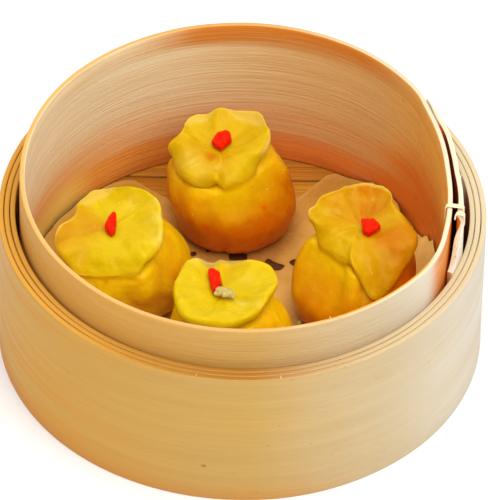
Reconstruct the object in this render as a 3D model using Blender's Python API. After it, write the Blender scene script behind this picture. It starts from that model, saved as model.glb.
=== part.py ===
"""Round bamboo steamer basket with four money-bag dumplings on a perforated paper liner.

Lengths are in metres, +Z is up. The origin is on the table at the centre of the basket.
The front of the basket is towards -Y and its right is towards +X. Angles go round +Z, from +X.
"""
import math

import bmesh
import bpy
from mathutils import Matrix, Vector, geometry

MM = 0.001

# Driving dimensions of the basket
BASKET_R = 90.0 * MM        # outer face of the outermost band
LEDGE_Z = 61.5 * MM         # top of the bands, where a lid's band would rest
RIM_Z = 79.5 * MM           # top edge of the inner hoop
FLOOR_Z = 13.0 * MM         # top of the slats
GAP = 0.3 * MM              # clearance between pieces that touch
RING_STEPS = 72             # facets round every ring

# Bamboo strips
BAND_T = 1.85 * MM
BAND_NAMES = ("outer_band", "middle_band", "inner_band")
BAND_FOOT_STEP = 0.4 * MM   # each band inside stands this much higher off the table
HOOP_R = 83.5 * MM          # outer face of the hoop where it is round
HOOP_T = 1.9 * MM
EDGE_CHAMFER = 0.4 * MM     # worn top edges of the hoop

# The hoop is pushed in on the right, where its strip laps over itself: (angle, inset in mm)
HOOP_INSETS = ((-180, 1.3), (-140, 0.5), (-100, 0.0), (-38, 0.0), (-29, 0.8), (-20, 3.3),
               (-9, 5.6), (3, 7.2), (14, 6.9), (24, 5.8), (30, 4.7), (36, 3.0), (46, 1.8),
               (64, 0.6), (90, 0.0), (140, 0.5), (180, 1.3))

# The free end of that strip, outside the hoop: (angle, inset of its outer face in mm)
LAP_INSETS = ((-24, 0.1), (-16, 0.7), (-10, 1.6), (-4, 2.8), (3, 4.1), (11, 4.2), (19, 3.6),
              (27, 3.4), (34, 3.0))
LAP_START = 33.0            # degrees, where the strip leaves the hoop
LAP_FULL = 24.0             # degrees, where it has its full thickness
LAP_CUT = -11.0             # degrees, where its top edge starts to slope down
LAP_END = -22.5             # degrees, its free end
LAP_STEPS = 18
LAP_T = 1.8 * MM
LAP_THIN_T = 0.4 * MM
LAP_DROP = 0.2 * MM         # its top edge lies this far below the rim
LAP_END_Z = LEDGE_Z + 0.8 * MM

# Floor
SLAT_T = 2.2 * MM
SLAT_W = 11.2 * MM
SLAT_PITCH = 12.5 * MM
SLAT_COUNT = 13
SLAT_R = 83.2 * MM          # the slats' ends are cut round and lie under the hoop
SLAT_MIN_REACH = 8.0 * MM   # half the length of the shortest slat's outer side
BATTEN_T = 3.4 * MM
BATTEN_W = 9.0 * MM
BATTEN_X = 34.0 * MM
BATTEN_COUNT = 2
LOWER_HOOP_T = 1.9 * MM
LOWER_HOOP_FOOT = 2.0 * MM
LOWER_HOOP_R = HOOP_R

# Paper liner
LINER_T = 0.4 * MM
LINER_R = 80.0 * MM
LINER_STEPS = 60
LINER_CLEAR = 0.8 * MM      # between the liner's edge and the hoop
LINER_FLAT_R = 66.0 * MM    # the liner lies flat inside this radius
LINER_FOLD_R = 65.0 * MM    # ring of points where the turned-up edge starts to bend
LINER_FOLD_CLEAR = 7.0 * MM # from that ring to the liner's edge, at least
LINER_RUFFLES = 11          # shallow waves of the cut edge, and their height
LINER_RUFFLE = 0.6 * MM
# Where the edge is trimmed back or stands up against the wall: (angle, half width, amount in mm)
LINER_DIPS = ((95.0, 30.0, 14.0), (37.0, 5.0, 6.0))
LINER_LIFTS = ((27.0, 11.0, 12.0), (50.0, 13.0, 7.0), (150.0, 24.0, 2.5))
HOLE_POINTS = 8
HOLE_SQUARENESS = 0.18      # how much fuller than an ellipse a hole's ends are

# Die-cut holes of the liner: (angle, radius, length along the circle, width, bend), in mm and degrees
SEEN_HOLES = ((110, 30.0, 6.0, 3.2, 0.6), (93, 25.2, 6.6, 3.4, 0.0), (125, 31.8, 3.0, 3.0, 0.0),
              (60, 25.0, 7.2, 4.2, -1.0), (45, 30.0, 7.0, 4.0, 0.6), (13, 21.0, 3.4, 3.4, 0.0),
              (28, 71.6, 6.0, 2.6, 0.8), (188, 25.6, 3.6, 3.0, 0.0), (116, 66.5, 3.4, 2.6, 0.0),
              (70, 66.0, 7.5, 1.8, 0.0))
# The holes that the dumplings hide repeat round two circles: (radius, first angle, step, last angle)
HIDDEN_RINGS = ((27.0, 150.0, 26.0, 170.0), (27.0, 214.0, 26.0, 350.0), (68.0, 140.0, 17.0, 360.0))
HIDDEN_HOLE = (6.0, 2.8, 0.5)

# Dumplings: radius and height above the liner of the rings of the skin, in mm, from the
# middle of the foot up the outside to the collar's lip
BODY_RINGS = ((9.0, 0.0), (16.0, 0.25), (20.2, 3.0), (22.4, 8.0), (22.9, 14.0), (22.3, 20.0),
              (20.4, 25.5), (17.4, 29.8), (14.6, 32.0))
# Rings of the collar: (share of the lip's reach, height over the neck, share of the lip's outline)
COLLAR_RINGS = ((0.80, 2.2, 0.5), (0.93, 4.8, 0.85), (1.0, 7.0, 1.0), (0.99, 7.9, 1.0),
                (0.94, 7.6, 0.95), (0.78, 6.2, 0.8), (0.56, 5.2, 0.6), (0.34, 4.6, 0.3),
                (0.14, 4.4, 0.1))
NECK_H = 32.0               # mm, height of the body's last ring
CUP_H = 36.4                # mm, height of the middle of the collar's cup
MERIDIANS = 36
PLEAT_COUNT = 9
PLEAT_DEPTH = 0.06          # share of the radius, at the neck
PLEAT_FROM_H = 12.0         # mm, height where the pleats start
BROAD_FROM_H = 24.0         # mm, height where the neck's broad side starts
LUMP_COUNT = 3
LUMP_DEPTH = 0.02           # share of the radius
NECK_SHIFT = 0.75           # share of the way from the foot's centre to the collar's at the neck
LIP_RIPPLE = 0.025          # share of the reach
LIP_WAVE = 0.7              # mm, rise and fall of the lip
LIP_WAVES = 5
LIP_STEP = 10               # degrees

# Each dumpling: foot centre and collar centre in mm, lean of the collar's rim (mm of rise for
# each mm along X and Y), phase of its pleats and lumps, the side where the neck stays broad as
# (angle, half width, extra in mm), and the lip's reach in mm at every LIP_STEP degrees
DUMPLINGS = {
    "rear": {
        "foot": (-3.5, 43.3), "collar": (-9.2, 43.9), "lean": (0.15, 0.12), "phase": 0.3,
        "broad": (290.0, 70.0, 2.6),
        "lip": (18.8, 19.4, 18.6, 19.1, 20.1, 20.3, 18.8, 17.6, 16.8, 16.1, 15.9, 17.0,
                17.9, 18.4, 17.2, 15.6, 16.2, 19.7, 17.9, 17.6, 17.6, 18.3, 18.6, 19.1,
                19.1, 18.4, 17.5, 16.6, 15.4, 15.3, 15.6, 15.7, 15.5, 15.4, 16.3, 17.5),
    },
    "left": {
        "foot": (-40.4, 5.8), "collar": (-48.8, 0.5), "lean": (0.12, 0.12), "phase": 1.7,
        "broad": (285.0, 60.0, 2.4),
        "lip": (20.3, 19.9, 20.1, 19.8, 19.0, 17.9, 16.4, 15.4, 15.5, 16.0, 16.6, 16.9,
                16.1, 15.6, 15.0, 14.4, 13.4, 14.6, 17.9, 20.3, 21.7, 23.0, 23.6, 22.4,
                21.0, 19.9, 19.6, 19.5, 20.0, 21.2, 23.2, 23.4, 22.8, 22.6, 21.7, 21.1),
    },
    "front": {
        "foot": (-2.8, -34.9), "collar": (-6.1, -32.2), "lean": (0.0, 0.04), "phase": 2.9,
        "broad": (320.0, 60.0, 2.0),
        "lip": (19.4, 20.1, 20.6, 20.2, 18.8, 15.9, 13.6, 13.0, 13.1, 12.9, 12.7, 11.9,
                11.3, 16.4, 18.3, 18.2, 17.9, 18.8, 19.1, 19.4, 19.9, 20.6, 21.3, 21.7,
                21.1, 20.3, 20.2, 20.5, 20.6, 19.8, 19.4, 18.7, 18.1, 17.9, 18.0, 18.5),
    },
    "right": {
        "foot": (42.6, -3.7), "collar": (44.3, 4.4), "lean": (0.0, 0.10), "phase": 4.2,
        "broad": (245.0, 70.0, 4.0),
        "lip": (18.5, 17.1, 16.0, 15.0, 15.1, 16.8, 17.8, 18.7, 19.0, 18.3, 17.1, 16.5,
                16.3, 17.2, 18.5, 19.0, 18.8, 20.5, 19.2, 18.2, 17.2, 15.9, 15.4, 15.6,
                15.9, 16.8, 20.4, 24.4, 25.7, 25.3, 23.6, 22.2, 21.6, 22.0, 21.4, 20.1),
    },
}

# Red pieces in the collars, in mm: middle, from the collar's centre, and outline round it
RED_PIECES = {
    "rear": ((0.7, 2.5), ((-3.8, -0.7), (-1.7, 3.1), (1.5, 4.4), (3.1, 3.6), (3.8, 0.2),
                          (-0.1, -4.3), (-3.1, -2.1))),
    "left": ((0.4, -0.8), ((0.6, 5.3), (1.7, 4.4), (2.1, 0.3), (1.5, -3.9), (0.4, -5.3),
                          (-1.3, -3.7), (-2.4, -1.2), (-1.1, 2.6))),
    "front": ((-3.7, 2.8), ((-2.4, 4.4), (-0.8, 5.3), (1.9, 3.6), (2.7, -1.6), (-0.4, -5.4),
                            (-1.5, -1.9), (-2.1, 1.9))),
    "right": ((2.9, -3.1), ((-3.3, 3.2), (1.5, 3.5), (4.1, 0.2), (-0.2, -3.7), (-2.6, -2.5))),
}
RED_T = 2.2                 # mm
RED_LIFT = 2.3              # mm, from the cup to the middle of the piece
RED_SLOPE = 0.15            # rise of the piece for each mm to the back
RED_BEVEL = 0.3 * MM
CRUMB_R = 2.1 * MM
CRUMB_OFFSET = (0.1, -3.5)  # mm, from the front collar's centre
CRUMB_LIFT = 2.6            # mm
CRUMB_SHAPE = (1.6, 0.95, 0.8)

# Cane ties over the lap: (angle, inside start height, outside end height, goes round the hoop too)
TIE_T = 0.7 * MM
TIE_W = 2.4 * MM
TIE_CLEAR = 0.25 * MM
TIE_BEND = 0.95 * MM        # where the tie turns over the rim
TIES = ((-11.0, 72.0 * MM, 65.0 * MM, True), (-14.5, 72.0 * MM, 64.5 * MM, False))

COLOURS = {                 # linear base colour, roughness
    "bamboo": ((0.68, 0.40, 0.17), 0.55),
    "bamboo_pale": ((0.78, 0.56, 0.30), 0.55),
    "cane": ((0.83, 0.62, 0.32), 0.5),
    "paper": ((0.60, 0.36, 0.20), 0.8),
    "skin": ((0.86, 0.50, 0.03), 0.25),
    "red": ((0.80, 0.02, 0.01), 0.3),
    "cream": ((0.85, 0.68, 0.38), 0.5),
}


def clear_scene():
    for obj in list(bpy.data.objects):
        bpy.data.objects.remove(obj, do_unlink=True)


def material(name):
    """The Principled material of one finish, made the first time it is asked for."""
    if name in bpy.data.materials:
        return bpy.data.materials[name]
    colour, roughness = COLOURS[name]
    mat = bpy.data.materials.new(name)
    mat.use_nodes = True
    shader = mat.node_tree.nodes["Principled BSDF"]
    shader.inputs["Base Color"].default_value = (*colour, 1.0)
    shader.inputs["Roughness"].default_value = roughness
    shader.inputs["Metallic"].default_value = 0.0
    return mat


def finish(bm, name, finish_name, smooth=True):
    """Turn a bmesh into a named object with its faces pointing out."""
    bmesh.ops.recalc_face_normals(bm, faces=bm.faces)
    mesh = bpy.data.meshes.new(name)
    bm.to_mesh(mesh)
    bm.free()
    if smooth:
        mesh.shade_smooth()
        mesh.set_sharp_from_angle(angle=math.radians(35.0))
    obj = bpy.data.objects.new(name, mesh)
    obj.data.materials.append(material(finish_name))
    bpy.context.scene.collection.objects.link(obj)
    return obj


def smoothstep(low, high, value):
    share = min(1.0, max(0.0, (value - low) / (high - low)))
    return share * share * (3.0 - 2.0 * share)


def bump(value, middle, half_width):
    """A smooth hump of height 1 round the middle, 0 from half_width away, on degrees."""
    away = abs((value - middle + 180.0) % 360.0 - 180.0)
    return 0.5 + 0.5 * math.cos(math.pi * away / half_width) if away < half_width else 0.0


def curve_value(knots, at, period=None):
    """A smooth Catmull-Rom curve through (position, value) knots, closed where a period is given."""
    if period:
        first, last = knots[0], knots[-1]
        before, after = (last[0] - period, last[1]), (first[0] + period, first[1])
        at = (at - first[0]) % period + first[0]
        ring = (before, *knots, after, (knots[1][0] + period, knots[1][1]))
    else:
        ring = ((2 * knots[0][0] - knots[1][0], knots[0][1]), *knots,
                (2 * knots[-1][0] - knots[-2][0], knots[-1][1]))
        at = min(max(at, knots[0][0]), knots[-1][0])
    for p0, p1, p2, p3 in zip(ring, ring[1:], ring[2:], ring[3:]):
        if p1[0] <= at <= p2[0]:
            break
    span = p2[0] - p1[0]
    t = (at - p1[0]) / span
    m1 = (p2[1] - p0[1]) / (p2[0] - p0[0]) * span
    m2 = (p3[1] - p1[1]) / (p3[0] - p1[0]) * span
    return ((2 * t**3 - 3 * t**2 + 1) * p1[1] + (t**3 - 2 * t**2 + t) * m1
            + (3 * t**2 - 2 * t**3) * p2[1] + (t**3 - t**2) * m2)


def degrees_of(point):
    return math.degrees(math.atan2(point.y, point.x))


def hoop_inset(angle):
    return curve_value(HOOP_INSETS, (angle + 180.0) % 360.0 - 180.0) * MM


def hoop_inner_radius(angle):
    return HOOP_R - HOOP_T - hoop_inset(angle)


def spun_ring(profile):
    """A closed ring: the (radius, height) profile spun once round Z."""
    bm = bmesh.new()
    verts = [bm.verts.new((radius, 0.0, height)) for radius, height in profile]
    edges = [bm.edges.new((a, b)) for a, b in zip(verts, verts[1:] + verts[:1])]
    bmesh.ops.spin(bm, geom=verts + edges, cent=(0, 0, 0), axis=(0, 0, 1), angle=2 * math.pi,
                   steps=RING_STEPS, use_merge=True)
    return bm


def strip_profile(inner, outer, foot, top):
    return ((inner, foot), (outer, foot), (outer, top), (inner, top))


def make_bands():
    """Concentric strips of the thick wall, outermost first, up to the ledge."""
    for index, name in enumerate(BAND_NAMES):
        outer = BASKET_R - index * (BAND_T + GAP)
        foot = index * BAND_FOOT_STEP
        bm = spun_ring(strip_profile(outer - BAND_T, outer, foot, LEDGE_Z))
        finish(bm, name, "bamboo_pale" if index else "bamboo")


def make_hoop():
    """The tall inner strip, from the slats to the rim, pushed in where it laps."""
    foot = FLOOR_Z + GAP
    inner = HOOP_R - HOOP_T
    profile = ((inner, foot), (HOOP_R, foot), (HOOP_R, RIM_Z - EDGE_CHAMFER),
               (HOOP_R - EDGE_CHAMFER, RIM_Z), (inner + EDGE_CHAMFER, RIM_Z),
               (inner, RIM_Z - EDGE_CHAMFER))
    bm = spun_ring(profile)
    for vert in bm.verts:
        radius = vert.co.xy.length
        scale = (radius - hoop_inset(degrees_of(vert.co))) / radius
        vert.co.xy = vert.co.xy * scale
    finish(bm, "hoop", "bamboo_pale")


def lap_thickness(angle):
    return LAP_THIN_T + (LAP_T - LAP_THIN_T) * (1.0 - smoothstep(LAP_FULL, LAP_START, angle))


def lap_outer_radius(angle):
    return HOOP_R - curve_value(LAP_INSETS, angle) * MM


def lap_top(angle):
    slope = smoothstep(-LAP_CUT, -LAP_END, -angle)
    return RIM_Z - LAP_DROP - slope * (RIM_Z - LAP_END_Z)


def make_hoop_lap():
    """The free end of the hoop's strip, lying outside the hoop and cut off on a slope."""
    bm = bmesh.new()
    foot = FLOOR_Z + GAP
    sections = []
    for step in range(LAP_STEPS + 1):
        angle = LAP_START + (LAP_END - LAP_START) * step / LAP_STEPS
        outer = lap_outer_radius(angle)
        corners = strip_profile(outer - lap_thickness(angle), outer, foot, lap_top(angle))
        turn = Matrix.Rotation(math.radians(angle), 3, "Z")
        sections.append([bm.verts.new(turn @ Vector((r, 0.0, z))) for r, z in corners])
    loft(bm, sections)
    finish(bm, "hoop_lap", "bamboo_pale")


def loft(bm, sections):
    """Bridge sections of equal vertex counts into a closed bar with capped ends."""
    loops = []
    for section in sections:
        loops.append([bm.edges.new((a, b)) for a, b in zip(section, section[1:] + section[:1])])
    for first, second in zip(loops, loops[1:]):
        bmesh.ops.bridge_loops(bm, edges=first + second)
    bm.faces.new(sections[0])
    bm.faces.new(sections[-1])


def slab(outline, low, high):
    """A flat outline of XY points extruded from one height to another."""
    bm = bmesh.new()
    face = bm.faces.new([bm.verts.new((x, y, low)) for x, y in outline])
    extruded = bmesh.ops.extrude_face_region(bm, geom=[face])
    top = [item for item in extruded["geom"] if isinstance(item, bmesh.types.BMVert)]
    bmesh.ops.translate(bm, verts=top, vec=(0.0, 0.0, high - low))
    return bm


def make_slats():
    """Split bamboo slats side by side along X, their ends cut to the circle."""
    for index in range(SLAT_COUNT):
        middle = (index - (SLAT_COUNT - 1) / 2) * SLAT_PITCH
        sides = [middle + share * SLAT_W for share in (-0.5, 0.0, 0.5)]
        reach = [math.sqrt(max(SLAT_R**2 - y**2, SLAT_MIN_REACH**2)) for y in sides]
        right = list(zip(reach, sides))
        left = [(-x, y) for x, y in reversed(right)]
        finish(slab(right + left, FLOOR_Z - SLAT_T, FLOOR_Z), f"slat_{index + 1:02d}", "bamboo",
               smooth=False)


def make_battens():
    """Thick strips under the slats, from front to back inside the lower hoop."""
    top = FLOOR_Z - SLAT_T - GAP
    for index in range(BATTEN_COUNT):
        middle = (2 * index - (BATTEN_COUNT - 1)) * BATTEN_X
        sides = [middle + share * BATTEN_W for share in (-0.5, 0.5)]
        clear = LOWER_HOOP_R - LOWER_HOOP_T - GAP
        reach = [math.sqrt(clear**2 - x**2) - GAP for x in sides]
        outline = [(sides[0], -reach[0]), (sides[1], -reach[1]), (sides[1], reach[1]),
                   (sides[0], reach[0])]
        finish(slab(outline, top - BATTEN_T, top), f"batten_{index + 1}", "bamboo", smooth=False)


def make_lower_hoop():
    """The narrow strip under the slats' ends."""
    profile = strip_profile(LOWER_HOOP_R - LOWER_HOOP_T, LOWER_HOOP_R, LOWER_HOOP_FOOT,
                            FLOOR_Z - SLAT_T - GAP)
    finish(spun_ring(profile), "lower_hoop", "bamboo")


def liner_radius(angle):
    trim = sum(depth * bump(angle, middle, half) for middle, half, depth in LINER_DIPS) * MM
    ruffle = LINER_RUFFLE * math.cos(math.radians(LINER_RUFFLES * angle))
    return min(LINER_R + ruffle, hoop_inner_radius(angle) - LINER_CLEAR) - trim


def liner_lift(radius, angle):
    """How far the liner stands up off the slats, rising only outside its flat middle."""
    height = sum(rise * bump(angle, middle, half) for middle, half, rise in LINER_LIFTS) * MM
    edge = liner_radius(angle)
    return height * smoothstep(LINER_FLAT_R, max(edge, LINER_FLAT_R + MM), radius)


def hole_outline(angle, radius, length, width, bend):
    """A rounded slot lying along its circle, bent by the given rise in mm."""
    centre = Matrix.Rotation(math.radians(angle), 2) @ Vector((radius, 0.0))
    points = []
    for step in range(HOLE_POINTS):
        turn = 2 * math.pi * (step + 0.5) / HOLE_POINTS
        along = 0.5 * length * math.cos(turn) * (1.0 + HOLE_SQUARENESS * math.sin(turn)**2)
        across = 0.5 * width * math.sin(turn) + bend * (1.0 - (2 * along / length)**2)
        local = Matrix.Rotation(math.radians(angle), 2) @ Vector((across, along))
        points.append((centre + local) * MM)
    return points[::-1]


def hidden_holes():
    for radius, first, step, last in HIDDEN_RINGS:
        angle = first
        while angle < last:
            yield (angle, radius, *HIDDEN_HOLE)
            angle += step


def make_liner():
    """Thin paper with die-cut holes, its edge trimmed and turned up as it lies in the basket."""
    angles = [360.0 * step / LINER_STEPS for step in range(LINER_STEPS)]
    rim = [Vector((math.cos(math.radians(a)), math.sin(math.radians(a)))) for a in angles]
    outline = [direction * liner_radius(a) for direction, a in zip(rim, angles)]
    fold = [direction * LINER_FOLD_R for direction, a in zip(rim, angles)
            if liner_radius(a) > LINER_FOLD_R + LINER_FOLD_CLEAR][::2]
    holes = [hole_outline(*hole) for hole in (*SEEN_HOLES, *hidden_holes())]
    points = outline + fold
    loops = [list(range(len(outline)))]
    for hole in holes:
        loops.append(list(range(len(points), len(points) + len(hole))))
        points = points + hole
    result = geometry.delaunay_2d_cdt(points, [], loops, 1, 1e-6)
    flat, triangles, sources = result[0], result[2], result[5]
    bm = bmesh.new()
    verts = []
    for point in flat:
        height = FLOOR_Z + GAP + liner_lift(point.length, degrees_of(point.to_3d()))
        verts.append(bm.verts.new((point.x, point.y, height)))
    for triangle, source in zip(triangles, sources):
        if source == [0]:
            bm.faces.new([verts[index] for index in triangle])
    loose = [vert for vert in bm.verts if not vert.link_faces]
    bmesh.ops.delete(bm, geom=loose, context="VERTS")
    sheet = bmesh.ops.extrude_face_region(bm, geom=bm.faces[:] + bm.edges[:] + bm.verts[:])
    top = [item for item in sheet["geom"] if isinstance(item, bmesh.types.BMVert)]
    bmesh.ops.translate(bm, verts=top, vec=(0.0, 0.0, LINER_T))
    bmesh.ops.triangulate(bm, faces=bm.faces[:])
    finish(bm, "liner", "paper", smooth=False)


def cup_centre(spec):
    """Middle of the collar's cup, in mm."""
    return Vector((*spec["collar"], liner_top() + CUP_H))


def liner_top():
    """Height of the liner's upper face where the dumplings stand, in mm."""
    return (FLOOR_Z + GAP + LINER_T + GAP) / MM


def skin_point(spec, ring, turn):
    """One point of a dumpling's skin, in mm: ring counts from the foot to the cup's middle."""
    foot = Vector(spec["foot"])
    collar = Vector(spec["collar"])
    angle = math.degrees(turn)
    direction = Vector((math.cos(turn), math.sin(turn)))
    if ring < len(BODY_RINGS):
        radius, height = BODY_RINGS[ring]
        rise = smoothstep(PLEAT_FROM_H, NECK_H, height)
        pleat = PLEAT_DEPTH * rise * math.cos(PLEAT_COUNT * turn + spec["phase"])
        lump = LUMP_DEPTH * math.cos(LUMP_COUNT * turn + 2.0 * spec["phase"])
        belly = lump * smoothstep(0.0, BODY_RINGS[2][1], height)
        middle, half_width, extra = spec["broad"]
        radius += extra * smoothstep(BROAD_FROM_H, NECK_H, height) * bump(angle, middle, half_width)
        radius *= 1.0 + pleat + belly
        flat = foot.lerp(collar, rise * NECK_SHIFT) + direction * radius
        return Vector((*flat, liner_top() + height))
    share, over, outline = COLLAR_RINGS[ring - len(BODY_RINGS)]
    lip = [(index * LIP_STEP, reach) for index, reach in enumerate(spec["lip"])]
    mean = sum(spec["lip"]) / len(spec["lip"])
    reach = outline * curve_value(lip, angle, 360.0) + (1.0 - outline) * mean
    ripple = 1.0 + LIP_RIPPLE * outline * math.cos(PLEAT_COUNT * turn + spec["phase"])
    flat = direction * share * reach * ripple
    lean = outline * (spec["lean"][0] * flat.x + spec["lean"][1] * flat.y)
    wave = LIP_WAVE * outline * math.sin(LIP_WAVES * turn + spec["phase"])
    return Vector((*(collar + flat), liner_top() + NECK_H + over + lean + wave))


def make_dumpling(name, spec):
    """One dumpling: body, gathered neck and open collar as a single closed skin."""
    rings = len(BODY_RINGS) + len(COLLAR_RINGS)
    bm = bmesh.new()
    bmesh.ops.create_uvsphere(bm, u_segments=MERIDIANS, v_segments=rings + 1, radius=1.0)
    for vert in bm.verts:
        level = (vert.co.z + 1.0) / 2.0
        ring = round(math.acos(1.0 - 2.0 * min(1.0, max(0.0, level))) / math.pi * (rings + 1)) - 1
        if ring < 0:
            point = Vector((*spec["foot"], liner_top()))
        elif ring >= rings:
            point = cup_centre(spec)
        else:
            point = skin_point(spec, ring, math.atan2(vert.co.y, vert.co.x))
        vert.co = point * MM
    bmesh.ops.triangulate(bm, faces=bm.faces[:])
    finish(bm, f"dumpling_{name}", "skin")


def make_red_piece(name, spec):
    """A small cut piece of red vegetable lying in the collar's cup."""
    offset, outline = RED_PIECES[name]
    centre = cup_centre(spec) + Vector((*offset, RED_LIFT))
    bm = slab([(x * MM, y * MM) for x, y in outline], -0.5 * RED_T * MM, 0.5 * RED_T * MM)
    bmesh.ops.bevel(bm, geom=bm.edges[:], offset=RED_BEVEL, segments=1, profile=0.5,
                    affect="EDGES", material=-1)
    for vert in bm.verts:
        vert.co.z += RED_SLOPE * vert.co.y
    bmesh.ops.translate(bm, verts=bm.verts, vec=centre * MM)
    finish(bm, f"red_piece_{name}", "red", smooth=False)


def make_crumb():
    """The cream-coloured crumb beside the front dumpling's red piece."""
    bm = bmesh.new()
    centre = cup_centre(DUMPLINGS["front"]) + Vector((*CRUMB_OFFSET, CRUMB_LIFT))
    bmesh.ops.create_icosphere(bm, subdivisions=2, radius=CRUMB_R)
    bmesh.ops.scale(bm, vec=CRUMB_SHAPE, verts=bm.verts)
    bmesh.ops.translate(bm, verts=bm.verts, vec=centre * MM)
    finish(bm, "cream_crumb", "cream")


def tie_path(angle, start_z, end_z, round_hoop):
    """Radius and height of a tie's middle line, from inside, over the rim, to outside."""
    half = 0.5 * TIE_T + TIE_CLEAR
    outer = lap_outer_radius(angle) + half
    if round_hoop:
        inner = hoop_inner_radius(angle) - half
    else:
        inner = lap_outer_radius(angle) - LAP_T - half
    over = RIM_Z + half
    return ((inner, start_z), (inner, over - TIE_BEND), (inner + TIE_BEND, over),
            (outer - TIE_BEND, over), (outer, over - TIE_BEND), (outer, end_z))


def make_tie(index, angle, start_z, end_z, round_hoop):
    """A flat cane tie bent over the hoop's rim."""
    path = tie_path(angle, start_z, end_z, round_hoop)
    bm = bmesh.new()
    turn = Matrix.Rotation(math.radians(angle), 3, "Z")
    sections = []
    for step, (radius, height) in enumerate(path):
        before = Vector(path[max(step - 1, 0)])
        after = Vector(path[min(step + 1, len(path) - 1)])
        along = (after - before).normalized()
        side = Vector((-along.y, along.x)) * 0.5 * TIE_T
        corners = ((-side, -0.5), (side, -0.5), (side, 0.5), (-side, 0.5))
        sections.append([bm.verts.new(turn @ Vector((radius + s.x, across * TIE_W, height + s.y)))
                         for s, across in corners])
    loft(bm, sections)
    finish(bm, f"cane_tie_{index}", "cane", smooth=False)


def main():
    clear_scene()
    make_bands()
    make_hoop()
    make_hoop_lap()
    make_lower_hoop()
    make_slats()
    make_battens()
    make_liner()
    for name, spec in DUMPLINGS.items():
        make_dumpling(name, spec)
        make_red_piece(name, spec)
    make_crumb()
    for index, tie in enumerate(TIES, start=1):
        make_tie(index, *tie)


main()
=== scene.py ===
"""Bamboo steamer basket with four crystal dumplings on a perforated paper liner: the finished look.

Lengths are in metres, +Z is up, and the origin is on the table at the centre of the basket. The
front of the basket is towards -Y. Angles are in degrees round +Z, from +X. Numbers that describe
the soft forms of the food are in millimetres, as their names or comments say.
"""
import math
from types import SimpleNamespace

import bmesh
import bpy
from bpy.props import FloatProperty, FloatVectorProperty, IntProperty, PointerProperty
from mathutils import Matrix, Vector, geometry, noise


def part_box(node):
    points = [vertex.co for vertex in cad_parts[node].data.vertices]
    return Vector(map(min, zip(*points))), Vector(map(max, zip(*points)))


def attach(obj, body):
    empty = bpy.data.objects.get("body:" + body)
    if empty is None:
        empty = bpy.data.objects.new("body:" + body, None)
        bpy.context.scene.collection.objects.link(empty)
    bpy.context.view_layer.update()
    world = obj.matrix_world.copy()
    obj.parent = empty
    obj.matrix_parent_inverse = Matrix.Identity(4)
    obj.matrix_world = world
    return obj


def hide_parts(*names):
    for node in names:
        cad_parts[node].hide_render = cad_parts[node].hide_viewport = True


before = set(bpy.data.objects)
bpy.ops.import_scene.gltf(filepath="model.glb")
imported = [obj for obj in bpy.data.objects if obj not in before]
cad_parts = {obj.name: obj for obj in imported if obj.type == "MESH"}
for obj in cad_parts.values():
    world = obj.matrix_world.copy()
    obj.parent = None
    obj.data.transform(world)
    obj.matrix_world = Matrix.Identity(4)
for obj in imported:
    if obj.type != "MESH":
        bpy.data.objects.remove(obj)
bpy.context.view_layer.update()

bl_info = {
    "name": "Dumpling basket",
    "version": (1, 0, 0),
    "blender": (4, 5, 0),
    "location": "3D View > Sidebar > Basket",
    "description": "Dresses a bamboo steamer basket of crystal dumplings, piece by piece",
    "category": "Object",
}

MM = 0.001

# Heights and radii that the frame gives
BASKET_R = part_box("outer_band")[1].x
LEDGE_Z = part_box("outer_band")[1].z
RIM_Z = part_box("hoop")[1].z
HOOP_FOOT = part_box("hoop")[0].z
LINER_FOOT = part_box("liner")[0].z
STAND_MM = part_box("dumpling_rear")[0].z / MM

BAND_NAMES = ("outer_band", "middle_band", "inner_band")
UNDER_PIECES = ("lower_hoop", "batten_1", "batten_2")
SLAT_NAMES = tuple(f"slat_{index:02d}" for index in range(1, 14))

# Bamboo strips
RING_STEPS = 216
STRIP_ROWS = 10
STRIP_ROUNDING = 0.35 * MM
BAND_T = 1.85 * MM
HOOP_T = 1.9 * MM
EDGE_UNEVEN = 0.22 * MM     # rise and fall of a strip's cut top edge
FACE_UNEVEN = 0.12 * MM     # waves of a strip's flat faces
CUT_ZONE = 3.0 * MM         # below the top edge, where its rise and fall fades
LONG_WAVES, SHORT_WAVES = 5.0, 26.0     # of the cut edge, per turn
FACE_WAVES = 22.0           # per metre

# Splinters along the cut edges: angle in degrees, radius, height and length in mm, then how far
# each leans outwards, as a share of its length, and how it is turned, in degrees
RIM_MM, LEDGE_MM = RIM_Z / MM, LEDGE_Z / MM
SPLINTERS = (
    (-65.0, 82.6, RIM_MM, 4.2, 0.5, 20.0), (-63.0, 82.9, RIM_MM, 3.4, 0.9, -65.0),
    (-66.5, 82.3, RIM_MM, 2.6, -0.3, 75.0), (-69.0, 82.8, RIM_MM, 2.2, 0.7, -30.0),
    (-17.5, 82.4, 70.5, 4.5, 1.2, -80.0), (-19.0, 82.8, 67.0, 3.6, 1.0, -60.0),
    (1.0, 79.6, RIM_MM, 2.0, 0.6, 50.0), (174.0, 89.0, LEDGE_MM, 2.4, 0.4, 60.0),
    (-100.0, 89.2, LEDGE_MM, 2.0, 0.5, 80.0), (-80.0, 89.4, LEDGE_MM, 2.2, 0.3, -80.0),
)

# Paper liner
LINER_T = 0.3 * MM
LINER_R = 80.0 * MM
LINER_STEPS = 180
LINER_GRID = 2.6 * MM       # between the points inside the outline
GRID_ROW = 0.866            # between their rows, as a share of that
LINER_CLEAR = 0.8 * MM      # between the liner's edge and the hoop
LINER_FLAT_R = 66.0 * MM    # the liner lies flat inside this radius
LINER_WRINKLE = 0.45 * MM
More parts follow.
